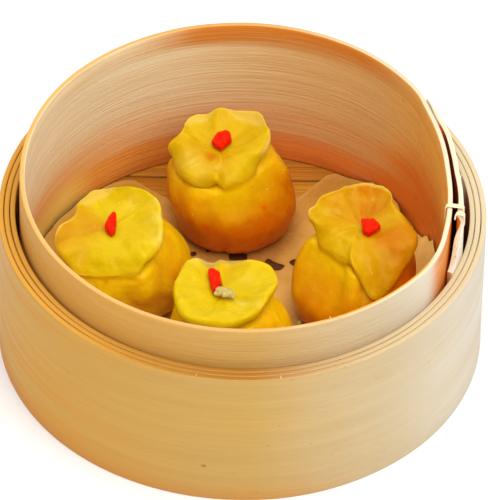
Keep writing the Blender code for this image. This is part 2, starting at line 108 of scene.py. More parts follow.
# Notches of its edge and places where it climbs the wall: (angle, half width, mm)
LINER_DIPS = ((37.0, 4.0, 6.0),)
LINER_LIFTS = ((14.0, 21.0, 13.0), (48.0, 14.0, 4.5), (150.0, 24.0, 2.5))
LINER_RUFFLES = 11          # even waves of the cut edge
RUFFLE_H, RAGGED_H = 0.6 * MM, 0.5 * MM     # height of those waves, and of uneven ones
CRUMPLES = ((60.0, 0.6), (150.0, 0.3))      # wrinkles: how many per metre, and their share
HOLE_UNEVEN = 0.12          # mm
# Paper grows wet, and its edge pale, from the first distance to the second, in mm
WET_FROM_FOOT, WET_FROM_HOLE, PALE_FROM_EDGE = (29.0, 21.0), (5.5, 2.5), (3.0, 0.3)
# Where the liner falls short of the wall at the back: (angle, radius in mm)
LINER_EDGE = ((58.0, 80.0), (65.0, 79.5), (67.5, 71.0), (69.5, 62.5), (74.0, 58.0), (90.0, 58.0),
              (105.0, 59.0), (115.6, 61.4), (119.3, 67.7), (122.0, 77.0), (127.0, 80.0))
HOLE_POINTS = 28

# Holes of the liner in mm and degrees: (angle, radius, length, width, bend, squareness, flat side)
SEEN_HOLES = (
    (110, 30.0, 6.4, 3.6, 0.4, 0.9, 0.25), (93, 25.2, 6.9, 4.0, 0.0, 0.35, 1.0),
    (125, 31.8, 3.0, 2.6, 0.0, 0.8, 1.0), (60, 25.0, 7.8, 4.4, -1.2, 0.6, 1.0),
    (45, 30.0, 7.4, 4.4, 0.7, 0.7, 1.0), (13, 21.0, 3.6, 3.4, 0.2, 0.8, 1.0),
    (28, 71.6, 6.0, 2.6, 0.9, 0.8, 1.0), (188, 25.6, 3.8, 3.0, 0.0, 0.9, 1.0),
)
# Rows of like holes that the dumplings hide or nearly hide: (radius, first, step, end)
HIDDEN_RINGS = ((27.0, 150.0, 26.0, 170.0), (27.0, 214.0, 26.0, 350.0),
                (68.0, 140.0, 17.0, 360.0))
HIDDEN_HOLE = (6.2, 3.2, 0.5, 0.7, 1.0)     # length, width, bend, squareness, flat side

# Dumplings. Rings of the skin from the middle of the foot outwards and up: radius and height in mm
BODY_RINGS = ((9.0, 0.0), (16.0, 0.25), (20.4, 3.0), (22.6, 8.0), (22.9, 14.0), (22.2, 20.0),
              (20.0, 25.5), (17.0, 29.8), (14.4, 32.0))
# Rings of the collar: share of the lip's reach and height over the neck in mm, where the lip
# stands up thin, where it rolls over outwards, and where it runs into the body without an edge
THIN_LIP = ((0.74, 2.0), (0.88, 4.4), (0.97, 6.3), (1.0, 7.7), (0.985, 8.2), (0.90, 7.2),
            (0.68, 5.8), (0.40, 4.8), (0.15, 4.4))
ROLLED_LIP = ((0.84, 1.2), (0.95, 2.2), (1.0, 3.8), (0.99, 5.4), (0.94, 6.8), (0.82, 7.8),
              (0.62, 7.0), (0.37, 5.3), (0.15, 4.4))
JOINED_LIP = ((1.02, -0.6), (1.0, 0.9), (0.95, 2.4), (0.88, 3.5), (0.80, 4.3), (0.68, 4.8),
              (0.52, 5.0), (0.33, 4.8), (0.14, 4.4))
# Share of the lip's own outline that each of those rings takes, and how thin its skin is
OUTLINE_SHARE = (0.6, 0.9, 1.0, 1.0, 0.96, 0.80, 0.45, 0.15, 0.0)
THIN_SHARE = (0.55, 0.85, 1.0, 1.0, 1.0, 1.0, 1.0, 1.0, 1.0)
JOIN_STEP = 1.4             # mm that a joined neck ends below the collar
NECK_FLARE = 0.035          # how much wider a joined neck grows for each mm that it goes down
LIP_CREST = 7.6             # mm over the neck, where the photograph's outline of the lips is taken
VIEW_SLOPE = 1.055          # mm that a lip moves back for each mm that it hangs lower
PETAL_OUT = 0.15            # mm that a petal moves out for each mm that it hangs lower
NECK_H = 32.0               # mm from the foot to the neck
CUP_H = 36.4                # mm from the foot to the bottom of the cup
MERIDIANS = 200
LEVELS_PER_RING = 6
PLEAT_COUNT = 9
PLEAT_DEPTH = 0.03          # this and the next two are shares of the radius
NECK_UNEVEN = 0.04
BELLY_UNEVEN = 0.02
LIP_UNEVEN = 0.2            # mm, of the lip's outline
RIM_WAVES = 0.6             # mm, of the rim's height: even waves and uneven ones
RIM_UNEVEN = 0.8
HANG_SPARE = 0.8            # mm that a rolled lip hangs less, to clear the body
LIP_STEP = 10               # degrees
COLLAR_RING = 11.5          # rings are counted from the foot; from this one the skin is collar
LUMPY_RINGS = ((1.0, 3.0), (10.5, 8.5))     # where the body's lumps begin and end
LAST_FLECK_RING = 13.0
LUMP_SIZES = (9.0, 4.5)     # mm, of the body's large and small lumps
DENT_SIZES = (6.0, 2.6)     # mm, of the cup's
BODY_R = 20.0               # mm, to measure along the body round a fleck
FRINGE_STEP = 0.9           # mm, how far the pale fringe of a lip lies below the cup

# Each dumpling, in mm and degrees:
#   foot, collar        their centres; lean is the rim's rise for each mm along X and Y
#   phase               what makes its noise and pleats its own
#   flare               share of NECK_FLARE
#   broad, shoulder     (angle, half width, mm) where the neck is broader, the shoulder fuller
#   lip                 reach from the collar's centre at every LIP_STEP degrees
#   rolled, joined      (angle, half width, amount) where the lip rolls over, or runs into the body
#   drape               (angle, half width, mm) where the lip hangs lower
#   petal               (angle, mm) where it hangs down as a petal
#   fringe              (angle, width) of the pale band along its edge
#   folds               (angle, half width, height, inner share, outer share) of the cup's folds
#   creases             (angle, half width, depth, low, high) of the body's creases
#   warm, tint          share of orange filling that shows in the body, or in the collar, and
#                       (angle, half width, more) where there is more
#   blush, frost        (x, y, size, share) of orange spots, and of pale spots of painted sheen, in the collar
#   flecks              (angle, height, size, share) of red flecks under the skin
DUMPLINGS = {
    "rear": {
        "foot": (-3.5, 43.3), "collar": (-9.2, 43.9), "lean": (0.15, 0.12), "phase": 0.3,
        "flare": 1.0, "broad": (290, 70, 2.6), "shoulder": (25, 80, 4.0),
        "rolled": ((215, 75, 1.0), (345, 40, 0.7)), "joined": ((304, 52, 1.0), (222, 70, 0.45)),
        "petal": (), "tint": (0.18, ((275, 70, 0.14), (200, 50, 0.10))),
        "blush": ((-12.4, 40.0, 3.5, 0.8),),
        "painted_sheen": ((-20.9, 40.0, 3.0, 0.3), (-18.6, 36.2, 3.0, 0.5), (-16.0, 32.8, 2.8, 0.4),
                  (-9.8, 34.1, 1.6, 0.6)),
        "drape": ((340, 40, 1.0),),
        "warm": (1.0, ((325, 80, 0.1),)),
        "lip": (18.8, 19.4, 18.6, 19.1, 20.1, 20.3, 18.8, 17.6, 16.8, 16.1, 15.9, 17.0,
                17.9, 18.4, 17.2, 15.6, 16.2, 19.7, 17.9, 17.6, 17.6, 18.3, 18.6, 19.1,
                19.1, 18.4, 17.5, 16.6, 15.4, 15.3, 15.6, 15.7, 15.5, 15.4, 16.3, 17.5),
        "fringe": ((0, 1.8), (20, 0.3), (38, 4.4), (62, 4.2), (82, 1.0), (98, 0.6), (116, 4.2),
                   (134, 2.6), (145, 0.0), (165, 0.9), (180, 0.0), (270, 0.0), (330, 0.0)),
        "folds": ((328, 16, 1.0, 0.2, 0.8), (242, 18, -1.0, 0.2, 0.8), (275, 14, 1.1, 0.2, 0.8),
                  (95, 30, 0.6, 0.5, 0.9), (180, 16, 0.9, 0.4, 0.9), (148, 12, -1.2, 0.4, 0.9)),
        "creases": ((261, 12, 1.0, 0, 11), (338, 15, 1.2, 25, 33),
                    (350, 12, 0.7, 20, 30)),
        "flecks": ((250, 17.5, 2.0, 0.9), (266, 18.0, 2.4, 0.45), (318, 21.0, 1.8, 0.6),
                   (235, 25.0, 4.0, 0.3), (300, 9.0, 4.0, 0.25), (228, 20.0, 3.0, 0.25)),
    },
    "left": {
        "foot": (-40.4, 5.8), "collar": (-48.8, 0.5), "lean": (0.12, 0.12), "phase": 1.7,
        "flare": 0.7, "broad": (285, 60, 2.4), "shoulder": (20, 60, 1.5),
        "rolled": ((350, 75, 0.45), (215, 35, 0.4)), "joined": ((266, 62, 1.0), (335, 60, 0.4)),
        "drape": (), "petal": (), "tint": (0.04, ((185, 85, 0.50),)), "blush": (),
        "painted_sheen": ((-31.0, 1.5, 3.2, 0.7), (-30.4, -7.0, 3.0, 0.8), (-31.5, 8.5, 2.4, 0.5),
                  (-41.0, 10.5, 2.6, 0.35)),
        "warm": (0.05, ((335, 50, 0.55),)),
        "lip": (20.3, 19.9, 20.1, 19.8, 19.0, 17.9, 16.4, 15.4, 15.5, 16.0, 16.6, 16.9,
                16.1, 15.6, 15.0, 14.4, 13.4, 14.6, 17.9, 20.3, 21.7, 23.0, 23.6, 22.4,
                21.0, 19.9, 19.6, 19.5, 20.0, 21.2, 23.2, 23.4, 22.8, 22.6, 21.7, 21.1),
        "fringe": ((0, 0.0), (60, 0.0), (84, 0.5), (100, 3.2), (128, 3.6), (142, 1.0), (156, 0.4),
                   (185, 1.3), (215, 0.9), (240, 0.0), (300, 0.0)),
        "folds": ((32, 9, 1.0, 0.3, 0.75), (50, 8, -0.8, 0.3, 0.75), (335, 12, -1.1, 0.4, 0.9),
                  (118, 18, 0.8, 0.5, 0.9), (200, 22, -0.9, 0.3, 0.9), (250, 22, 0.8, 0.3, 0.8),
                  (310, 13, 0.7, 0.4, 0.9)),
        "creases": ((284, 10, 1.5, 12, 30), (306, 11, 1.0, 6, 28), (325, 10, 0.8, 8, 26)),
        "flecks": ((267, 28.0, 1.6, 0.6), (301, 20.6, 2.4, 0.5), (332, 18.0, 3.0, 0.3)),
    },
    "front": {
        "foot": (-2.8, -34.9), "collar": (-6.1, -32.2), "lean": (0.0, 0.04), "phase": 2.9,
        "flare": 0.0, "broad": (320, 60, 2.0), "shoulder": (350, 50, 0.8),
        "rolled": ((180, 70, 0.5), (300, 90, 0.5), (30, 30, 0.3)), "joined": ((235, 90, 0.35),),
        "drape": (), "petal": (), "tint": (0.03, ((85, 45, 0.12),)), "blush": (),
        "painted_sheen": ((-16.2, -19.2, 2.6, 0.8), (0.6, -39.1, 1.7, 0.9), (6.4, -40.6, 1.4, 0.7),
                  (2.4, -27.8, 2.0, 0.4)),
        "warm": (0.0, ((0, 60, 0.05),)),
        "lip": (19.4, 20.1, 20.6, 20.2, 18.8, 15.9, 13.6, 13.0, 13.1, 12.9, 12.7, 11.9,
                11.3, 16.4, 18.3, 18.2, 17.9, 18.8, 19.1, 19.4, 19.9, 20.6, 21.3, 21.7,
                21.1, 20.3, 20.2, 20.5, 20.6, 19.8, 19.4, 18.7, 18.1, 17.9, 18.0, 18.5),
        "fringe": ((5, 0.0), (40, 0.5), (80, 0.9), (105, 0.4), (126, 1.0), (145, 0.0), (260, 0.0),
                   (330, 0.0)),
        "folds": ((108, 13, -2.0, 0.1, 1.0), (145, 26, 1.0, 0.3, 0.9), (40, 34, 1.2, 0.3, 0.9),
                  (330, 14, -1.5, 0.2, 0.7), (5, 22, 0.6, 0.3, 0.9), (285, 22, 0.6, 0.3, 0.9),
                  (245, 14, -0.8, 0.2, 0.7), (82, 18, -0.8, 0.5, 1.0)),
        "creases": ((335, 12, 0.9, 8, 28), (300, 12, 0.7, 8, 26)),
        "flecks": (),
    },
    "right": {
        "foot": (42.6, -3.7), "collar": (44.3, 4.4), "lean": (0.0, 0.10), "phase": 4.2,
        "flare": 1.0, "broad": (215, 60, 2.0), "shoulder": (195, 55, 1.0),
        "rolled": ((0, 70, 0.9), (190, 30, 0.5), (296, 50, 1.0)), "joined": ((226, 46, 1.0),),
        "drape": (), "petal": ((329, 0.0), (314, 2.8), (302, 5.8), (290, 8.8), (278, 9.6),
                               (268, 4.6), (254, 0.0)),
        "tint": (0.34, ((80, 100, 0.34), (320, 70, 0.36))),
        "blush": ((54.0, 18.5, 6.0, 0.35), (33.0, 16.5, 4.5, 0.3), (48.3, 8.0, 2.2, 0.6)),
        "painted_sheen": ((31.3, 10.4, 1.2, 0.7), (35.0, 10.9, 1.2, 0.7)),
        "warm": (0.75, ((330, 60, 0.4),)),
        "lip": (18.5, 17.1, 16.0, 15.0, 15.1, 16.8, 17.8, 18.7, 19.0, 18.3, 17.1, 16.5,
                16.3, 17.2, 18.5, 19.0, 18.8, 20.5, 19.2, 18.2, 17.2, 15.9, 15.4, 15.6,
                15.9, 16.8, 20.4, 24.4, 28.5, 26.6, 25.5, 24.2, 23.8, 23.6, 22.0, 20.3),
        "fringe": ((0, 0.0), (40, 0.3), (60, 1.0), (90, 1.0), (120, 0.5), (150, 0.4), (170, 0.9),
                   (190, 0.0), (280, 0.0)),
        "folds": ((212, 12, 1.0, 0.25, 0.9), (262, 13, -0.9, 0.3, 1.0), (244, 14, 0.8, 0.3, 1.0),
                  (112, 18, -0.8, 0.3, 0.9), (70, 15, -1.4, 0.4, 0.95), (150, 12, -1.0, 0.4, 1.0),
                  (20, 18, 0.8, 0.4, 0.9), (345, 18, -0.7, 0.3, 0.9)),
        "creases": ((274, 8, 1.0, 22, 34), (215, 16, 0.5, 8, 26)),
        "flecks": ((325, 26.0, 5.5, 0.6), (268, 26.0, 3.2, 0.40), (240, 24.0, 4.0, 0.15)),
    },
}

# Outlines of the red pieces, in mm round the middle of their own node
RED_PIECES = {
    "rear": ((-3.8, -0.7), (-1.7, 3.1), (1.5, 4.4), (3.1, 3.6), (3.8, 0.2), (-0.1, -4.3),
             (-3.1, -2.1)),
    "left": ((0.75, 5.3), (1.85, 4.4), (2.25, 0.3), (1.65, -3.9), (0.55, -5.3), (-1.15, -3.7),
             (-2.25, -1.2), (-0.95, 2.6)),
    "front": ((-2.4, 4.4), (-0.8, 5.3), (1.9, 3.6), (2.7, -1.6), (-0.4, -5.4), (-1.5, -1.9),
              (-2.1, 1.9)),
    "right": ((-3.7, 3.3), (1.1, 3.6), (3.7, 0.3), (-0.6, -3.6), (-3.0, -2.4)),
}
RED_T = 2.2                 # mm
RED_SLOPE = 0.15            # rise for each mm to the back

LUMP_UNEVEN, LUMP_GRAIN = 0.28, 0.10        # of every crumb, as shares of its radius
# Loose crumbs on the liner: (x, y, size) in mm
LOOSE_CRUMBS = ((22.2, -10.8, 2.2), (25.4, -7.6, 1.5), (20.6, -14.6, 1.9), (24.6, -13.0, 1.2),
                (18.4, -9.0, 0.9), (27.6, -11.0, 0.8))
# Lumps of the cream crumb in the front collar: (x, y, z, radius) in mm from its middle
CREAM_LUMPS = ((-1.5, 0.6, 0.1, 1.9), (1.9, -0.2, -0.1, 1.8), (0.2, -1.0, 0.2, 1.3),
               (-2.8, -0.1, -0.3, 1.0), (0.3, 0.9, 0.4, 1.3), (3.2, -1.1, -0.5, 0.9))

# Free end of the hoop's strip
LAP_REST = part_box("inner_band")[1].x - BAND_T - 0.2 * MM    # radius where its outside rests
LAP_THICKENS = (-9.0, -16.0)    # degrees, between which its outside comes to rest there
LAP_SPLIT_FROM = -16.0          # degrees, where its tip starts to split
LAP_STEPS = 64
# Painted shade, with stain, in the gap behind the lap and in the gap between the lap and the ledge:
# (angle, share)
HOOP_GAP = ((-40.0, 0.0), (-36.0, 0.08), (-29.0, 0.40), (-18.0, 0.48), (-12.0, 0.52),
            (-8.0, 0.85), (-5.0, 1.0), (12.0, 1.0), (20.0, 0.75), (25.0, 0.0))
LEDGE_GAP = ((-5.0, 0.0), (-2.0, 0.8), (0.0, 1.0), (8.0, 1.0), (12.0, 0.5), (15.0, 0.0))

# Cane ties over the lap
TIE_T = 0.7 * MM
TIE_W = 2.0 * MM
TIE_CLEAR = 0.25 * MM       # between the cane and the strips
TIE_BEND = 0.95 * MM        # radius of its bends over the rim
TIE_SLANT = 1.6 * MM        # how far it moves along the rim from end to end
TIE_SIDES = 12
LAP_T = 1.8 * MM            # strip that a tie goes round
# (angle, inside start height, outside end height, goes round the hoop too)
TIES = ((-11.0, 74.5 * MM, 68.0 * MM, True), (-13.5, 78.0 * MM, 74.0 * MM, False))


class BambooLooks(bpy.types.PropertyGroup):
    """Colours and sizes of the bamboo strips."""
    wall: FloatVectorProperty(
        name="Wall", description="Bamboo of the outer wall", subtype="COLOR", size=3,
        default=(0.68, 0.31, 0.026), min=0.0, max=1.0)
    fibre: FloatVectorProperty(
        name="Fibre", description="Darker fibres along every strip", subtype="COLOR", size=3,
        default=(0.52, 0.25, 0.06), min=0.0, max=1.0)
    # Painted light: this paler, greyer bamboo on the right stands in for the key light that falls
    # from the right
    bleached: FloatVectorProperty(
        name="Lit_side", description="Palest bamboo, on the right of the basket", subtype="COLOR",
        size=3, default=(0.57, 0.43, 0.24), min=0.0, max=1.0)
    steamed: FloatVectorProperty(
        name="Steamed", description="Orange-brown bamboo where it has been steamed",
        subtype="COLOR", size=3, default=(0.66, 0.19, 0.014), min=0.0, max=1.0)
    rounding: FloatProperty(
        name="Edge rounding", description="Rounding of the strips' edges", unit="LENGTH",
        default=STRIP_ROUNDING, min=0.0001, max=0.0008)


class LinerLooks(bpy.types.PropertyGroup):
    """Colours and relief of the paper liner."""
    paper: FloatVectorProperty(
        name="Paper", description="Damp paper", subtype="COLOR", size=3,
        default=(0.67, 0.36, 0.075), min=0.0, max=1.0)
    wet: FloatVectorProperty(
        name="Wet paper", description="Paper soaked by the dumplings", subtype="COLOR", size=3,
        default=(0.42, 0.17, 0.028), min=0.0, max=1.0)
    wrinkle: FloatProperty(
        name="Wrinkles", description="Height of the liner's wrinkles", unit="LENGTH",
        default=LINER_WRINKLE, min=0.0, max=0.002)


class DumplingLooks(bpy.types.PropertyGroup):
    """Colours and relief of the dumplings."""
    skin: FloatVectorProperty(
        name="Skin", description="Thin cooked skin", subtype="COLOR", size=3,
        default=(0.80, 0.50, 0.002), min=0.0, max=1.0)
    collar: FloatVectorProperty(
        name="Collar", description="Skin of the collars, with no filling behind it",
        subtype="COLOR", size=3, default=(0.57, 0.42, 0.001), min=0.0, max=1.0)
    edge: FloatVectorProperty(
        name="Skin edge", description="Thinnest skin, along the lips", subtype="COLOR", size=3,
        default=(0.66, 0.46, 0.07), min=0.0, max=1.0)
    filling: FloatVectorProperty(
        name="Filling", description="Filling seen through the skin", subtype="COLOR", size=3,
        default=(0.47, 0.090, 0.0006), min=0.0, max=1.0)
    fleck: FloatVectorProperty(
        name="Flecks", description="Red flecks under the skin", subtype="COLOR", size=3,
        default=(0.58, 0.060, 0.002), min=0.0, max=1.0)
    lumps: FloatProperty(
        name="Lumps", description="Height of the lumps of filling under the skin", unit="LENGTH",
        default=0.7 * MM, min=0.0, max=0.003)
    folds: FloatProperty(
        name="Folds", description="Height of a full fold of a collar", unit="LENGTH",
        default=0.45 * MM, min=0.0, max=0.002)
    levels: IntProperty(
        name="Levels", description="Rows of faces between two rings of the skin",
        default=LEVELS_PER_RING, min=2, max=8)


class StageLooks(bpy.types.PropertyGroup):
    """Light and floor."""
    floor: FloatVectorProperty(
        name="Floor", description="Plain pale floor", subtype="COLOR", size=3,
        default=(0.80, 0.80, 0.80), min=0.0, max=1.0)
    key: FloatProperty(
        name="Key light", description="Power of the large soft light on the right, in watts",
        default=8.6, min=0.0, max=200.0)
    top: FloatProperty(
        name="Top light", description="Power of the soft light above and behind, in watts",
        default=4.2, min=0.0, max=200.0)
    sky: FloatProperty(
        name="Sky", description="Strength of the even white light from all round",
        default=0.57, min=0.0, max=4.0)


class Value:
    """A number, vector or colour inside a material; arithmetic on a number adds Math nodes."""

    def __init__(self, finish, socket):
        self.finish = finish
        self.socket = socket

    def math(self, operation, *values):
        return self.finish.node("ShaderNodeMath", {"operation": operation}, dict(enumerate(values)))

    def __add__(self, other):
        return self.math("ADD", self, other)

    __radd__ = __add__

    def __sub__(self, other):
        return self.math("SUBTRACT", self, other)

    def __rsub__(self, other):
        return self.math("SUBTRACT", other, self)

    def __mul__(self, other):
        return self.math("MULTIPLY", self, other)

    __rmul__ = __mul__

    def above(self, low, high):
        """0 below low, 1 above high and smooth between; falling where low is the larger."""
        return self.finish.node(
            "ShaderNodeMapRange", {"interpolation_type": "SMOOTHSTEP"},
            {0: self, 1: low, 2: high, 3: 0.0, 4: 1.0})

    def clamped(self):
        return self.finish.node("ShaderNodeClamp", {}, {0: self, 1: 0.0, 2: 1.0})


class Finish:
    """One material under construction."""

    def __init__(self, name):
        self.material = bpy.data.materials.new(name)
        self.material.use_nodes = True
        self.tree = self.material.node_tree
        self.shader = self.tree.nodes["Principled BSDF"]

    def node(self, kind, settings, sockets, output=0):
        """Any node: its settings first, then the values or links of its sockets."""
        made = self.tree.nodes.new(kind)
        for key, setting in settings.items():
            setattr(made, key, setting)
        for key, value in sockets.items():
            if isinstance(value, Value):
                self.tree.links.new(value.socket, made.inputs[key])
            else:
                made.inputs[key].default_value = value
        return Value(self, made.outputs[output])

    def attribute(self, name, output="Fac"):
        return self.node("ShaderNodeAttribute", {"attribute_name": name}, {}, output)

    def place(self):
        return self.node("ShaderNodeTexCoord", {}, {}, "Object")

    def upright(self):
        """1 on upright faces, 0 on level ones."""
        normal = self.node("ShaderNodeNewGeometry", {}, {}, "Normal")
        return self.part(normal, "Z").above(0.6, 0.3)

    def part(self, vector, axis):
        return self.node("ShaderNodeSeparateXYZ", {}, {0: vector}, "XYZ".index(axis))

    def stretched(self, vector, scale):
        return self.node("ShaderNodeVectorMath", {"operation": "MULTIPLY"}, {0: vector, 1: scale})

    def length(self, vector):
        return self.node("ShaderNodeVectorMath", {"operation": "LENGTH"}, {0: vector}, "Value")

    def cloud(self, vector, scale=1.0, detail=3.0, roughness=0.55, distortion=0.0):
        """Smooth noise, mostly between 0.3 and 0.7."""
        return self.node("ShaderNodeTexNoise", {},
                         {"Vector": vector, "Scale": scale, "Detail": detail,
                          "Roughness": roughness, "Distortion": distortion}, "Fac")

    def specks(self, vector, scale, size, share):
        """1 on small round specks, of which only a share shows."""
        sockets = {"Vector": vector, "Scale": scale}
        near = self.node("ShaderNodeTexVoronoi", {}, sockets, "Distance")
        chance = self.node("ShaderNodeTexVoronoi", {}, sockets, "Color")
        chosen = self.part(chance, "X").above(1.0 - share, 1.0 - 0.9 * share)
        return near.above(size, 0.4 * size) * chosen

    def mix(self, factor, first, second):
        """Colour between first, at factor 0, and second, at factor 1."""
        return self.node("ShaderNodeMix", {"data_type": "RGBA"},
                         {0: factor, 6: rgba(first), 7: rgba(second)}, 2)

    def layered(self, colour, *layers):
        """The colour with each (mask, colour) laid over it in turn."""
        for mask, over in layers:
            colour = self.mix(mask, colour, over)
        return colour

    def dress(self, colour, roughness, relief, depth, strength, gloss):
        """Link what varies to the shader and set what doesn't on its own sockets."""
        relief = self.node("ShaderNodeBump", {}, {"Strength": strength, "Distance": depth,
                                                  "Height": relief})
        for name, value in {"Base Color": colour, "Roughness": roughness, "Normal": relief,
                            **gloss}.items():
            if isinstance(value, Value):
                self.tree.links.new(value.socket, self.shader.inputs[name])
            else:
                self.shader.inputs[name].default_value = value
        return self.material


def rgba(colour):
    """A colour as a Mix node's socket takes it."""
    return colour if isinstance(colour, Value) else (*colour[:3], 1.0)


# Glosses, and the colours that the looks above don't name. Masks are given in metres.
WOOD_GLOSS = {"Specular IOR Level": 0.25, "Specular Tint": (1.0, 0.8, 0.5, 1.0)}
PAPER_GLOSS = {"Specular IOR Level": 0.3, "Specular Tint": (1.0, 0.7, 0.4, 1.0)}
SKIN_GLOSS = {
    "Coat Weight": 0.07, "Coat Roughness": 0.10, "Subsurface Weight": 0.8,
    "Subsurface Scale": 0.0025, "Subsurface Radius": (1.0, 0.95, 0.40),
    "Specular IOR Level": 0.25, "Specular Tint": (1.0, 0.70, 0.05, 1.0)}
RED_GLOSS = {
    "Coat Weight": 0.02, "Coat Roughness": 0.12, "Subsurface Weight": 0.1,
    "Subsurface Scale": 0.001, "Subsurface Radius": (1.0, 0.2, 0.1),
    "Specular IOR Level": 0.15, "Specular Tint": (1.0, 0.08, 0.02, 1.0)}
MEAT_GLOSS = {"Coat Weight": 0.3, "Coat Roughness": 0.2}
FLOOR_GLOW = {"Emission Color": (1.0, 1.0, 1.0, 1.0), "Emission Strength": 0.10}

# middle, far_right, band_right, fibre_right and ledge_right are painted light from the right; the
# dark gap colour is painted shade with stain
WALL = SimpleNamespace(
    middle=(0.54, 0.33, 0.095), far_right=(0.72, 0.64, 0.52), band=(0.62, 0.38, 0.085),
    band_right=(0.66, 0.54, 0.33), fibre_right=(0.56, 0.42, 0.24), ledge_left=(0.70, 0.34, 0.044),
    ledge=(0.39, 0.14, 0.007), ledge_right=(0.63, 0.48, 0.26), stained=(0.20, 0.025, 0.004),
    knot=(0.20, 0.07, 0.015))
HOOP = SimpleNamespace(
    left=(0.72, 0.34, 0.050), middle=(0.57, 0.33, 0.088), right=(0.61, 0.52, 0.37),
    far_right=(0.84, 0.76, 0.65), band=(0.66, 0.40, 0.13), fibre_right=(0.62, 0.48, 0.30),
    rim_left=(0.72, 0.41, 0.12), rim=(0.62, 0.35, 0.10), rim_right=(0.74, 0.62, 0.42),
    rim_inside=(0.84, 0.34, 0.018), stained=(0.80, 0.26, 0.022), stained_streak=(0.70, 0.17, 0.012),
    stained_dark=(0.26, 0.035, 0.005), knot=(0.24, 0.09, 0.02))
# Inner face: left, the pale streak, far_left and corner are painted light; right, far_right and the
# low colours are painted shade
INSIDE = SimpleNamespace(
    left=(0.86, 0.76, 0.50), right=(0.79, 0.47, 0.16), pale_streak=(0.92, 0.86, 0.72),
    far_left=(0.98, 0.88, 0.62), far_right=(1.0, 0.50, 0.07), band=(0.84, 0.56, 0.24),
    soaked_left=(0.86, 0.30, 0.012), soaked_right=(0.86, 0.17, 0.005), corner=(1.0, 0.74, 0.18))
# under_liner is painted shade, with wet, under the liner
SLAT = SimpleNamespace(
    plain=(0.54, 0.24, 0.022), band=(0.46, 0.17, 0.016), streak=(0.34, 0.11, 0.012),
    under_liner=(0.085, 0.018, 0.006))
# back_right and back_left are painted shade; up_the_wall is painted light
PAPER = SimpleNamespace(
    back_right=(0.37, 0.15, 0.012), back_left=(0.42, 0.20, 0.004), up_the_wall=(1.0, 0.66, 0.17),
    edge=(0.62, 0.34, 0.09), pulp=(0.68, 0.42, 0.14))
# The pale sheen patches and the tiny pale specks are painted highlights
SKIN = SimpleNamespace(
    lump=(0.72, 0.37, 0.002), collar_cloud=(0.66, 0.50, 0.010), vein=(0.50, 0.27, 0.001),
    meat_lump=(0.54, 0.14, 0.001), meat_in_collar=(0.50, 0.125, 0.001),
    frosted=(0.73, 0.58, 0.14), speck=(0.92, 0.78, 0.35))
CANE = SimpleNamespace(pale=(0.92, 0.80, 0.58), streak=(0.84, 0.58, 0.28))
RED = SimpleNamespace(
    flesh=(0.70, 0.010, 0.0005), deep=(0.60, 0.004, 0.0005), vein=(0.84, 0.045, 0.003),
    cut_edge=(0.88, 0.08, 0.008))
MEAT = SimpleNamespace(
    cream=(0.62, 0.50, 0.15), grain=(0.54, 0.38, 0.09), blush=(0.64, 0.42, 0.13))


def bamboo_grain(finish, strip):
    """Fibres along a strip: broad bands, streaks and fine lines, each about 0 to 1."""
    bands = finish.cloud(finish.stretched(strip, (7.0, 7.0, 130.0)), detail=2.0)
    streaks = finish.cloud(finish.stretched(strip, (15.0, 15.0, 900.0)), detail=4.0)
    lines = finish.cloud(finish.stretched(strip, (60.0, 60.0, 3600.0)), detail=2.0)
    return bands.above(0.34, 0.66), streaks.above(0.36, 0.68), lines.above(0.3, 0.7)


def bamboo_marks(finish, strip):
    """Small brown knots and specks of the strip."""
    squeezed = finish.stretched(strip, (1.0, 1.0, 1.6))
    knots = finish.specks(squeezed, scale=90.0, size=0.13, share=0.10)
    dots = finish.specks(squeezed, scale=260.0, size=0.16, share=0.06)
    return (knots * 0.75 + dots * 0.45).clamped()


def wall_bamboo(looks):
    """Bamboo of the bands: warm on the left, painted paler on the right, where it stands for the
    key light from the right, orange along the ledge.
    """
    finish = Finish("wall_bamboo")
    strip, place = finish.attribute("strip", "Vector"), finish.place()
    bands, streaks, lines = bamboo_grain(finish, strip)
    across, height = finish.part(place, "X"), finish.part(place, "Z")
    drifting = across + (finish.cloud(place, scale=16.0, detail=2.0) - 0.5) * 0.03
    # middle and right step the colour from warm to pale towards the right: painted light from the
    # key light on the right, carried on in the bands, fibres, far right and ledge
    middle, right = drifting.above(-0.085, -0.005), drifting.above(0.0, 0.065)
    inward = finish.attribute("inward")
    ledge = (inward * (1 - inward)).above(0.02, 0.14)
    colour = finish.layered(
        looks.wall,
        (middle, WALL.middle),
        (right, looks.bleached),
        (drifting.above(0.05, 0.09), WALL.far_right),
        (bands * 0.5, finish.mix(right, WALL.band, WALL.band_right)),
        (streaks * 0.16 + lines * 0.06, finish.mix(right, looks.fibre, WALL.fibre_right)),
        (ledge * (0.92 - streaks * 0.3),
         finish.layered(WALL.ledge_left, (middle, WALL.ledge), (right, WALL.ledge_right))),
        (height.above(0.010, 0.0) * (1 - right) * 0.35, looks.steamed),
        # Painted shade, with stain, in the gap between the lap and the ledge
        (finish.attribute("gap") * finish.upright(), WALL.stained),
        (bamboo_marks(finish, strip) * 0.8, WALL.knot))
    relief = streaks * 0.6 + lines * 0.4 + bands * 0.6
    return finish.dress(colour, 0.42 + streaks * 0.16, relief,
                        depth=0.18 * MM, strength=0.5, gloss=WOOD_GLOSS)


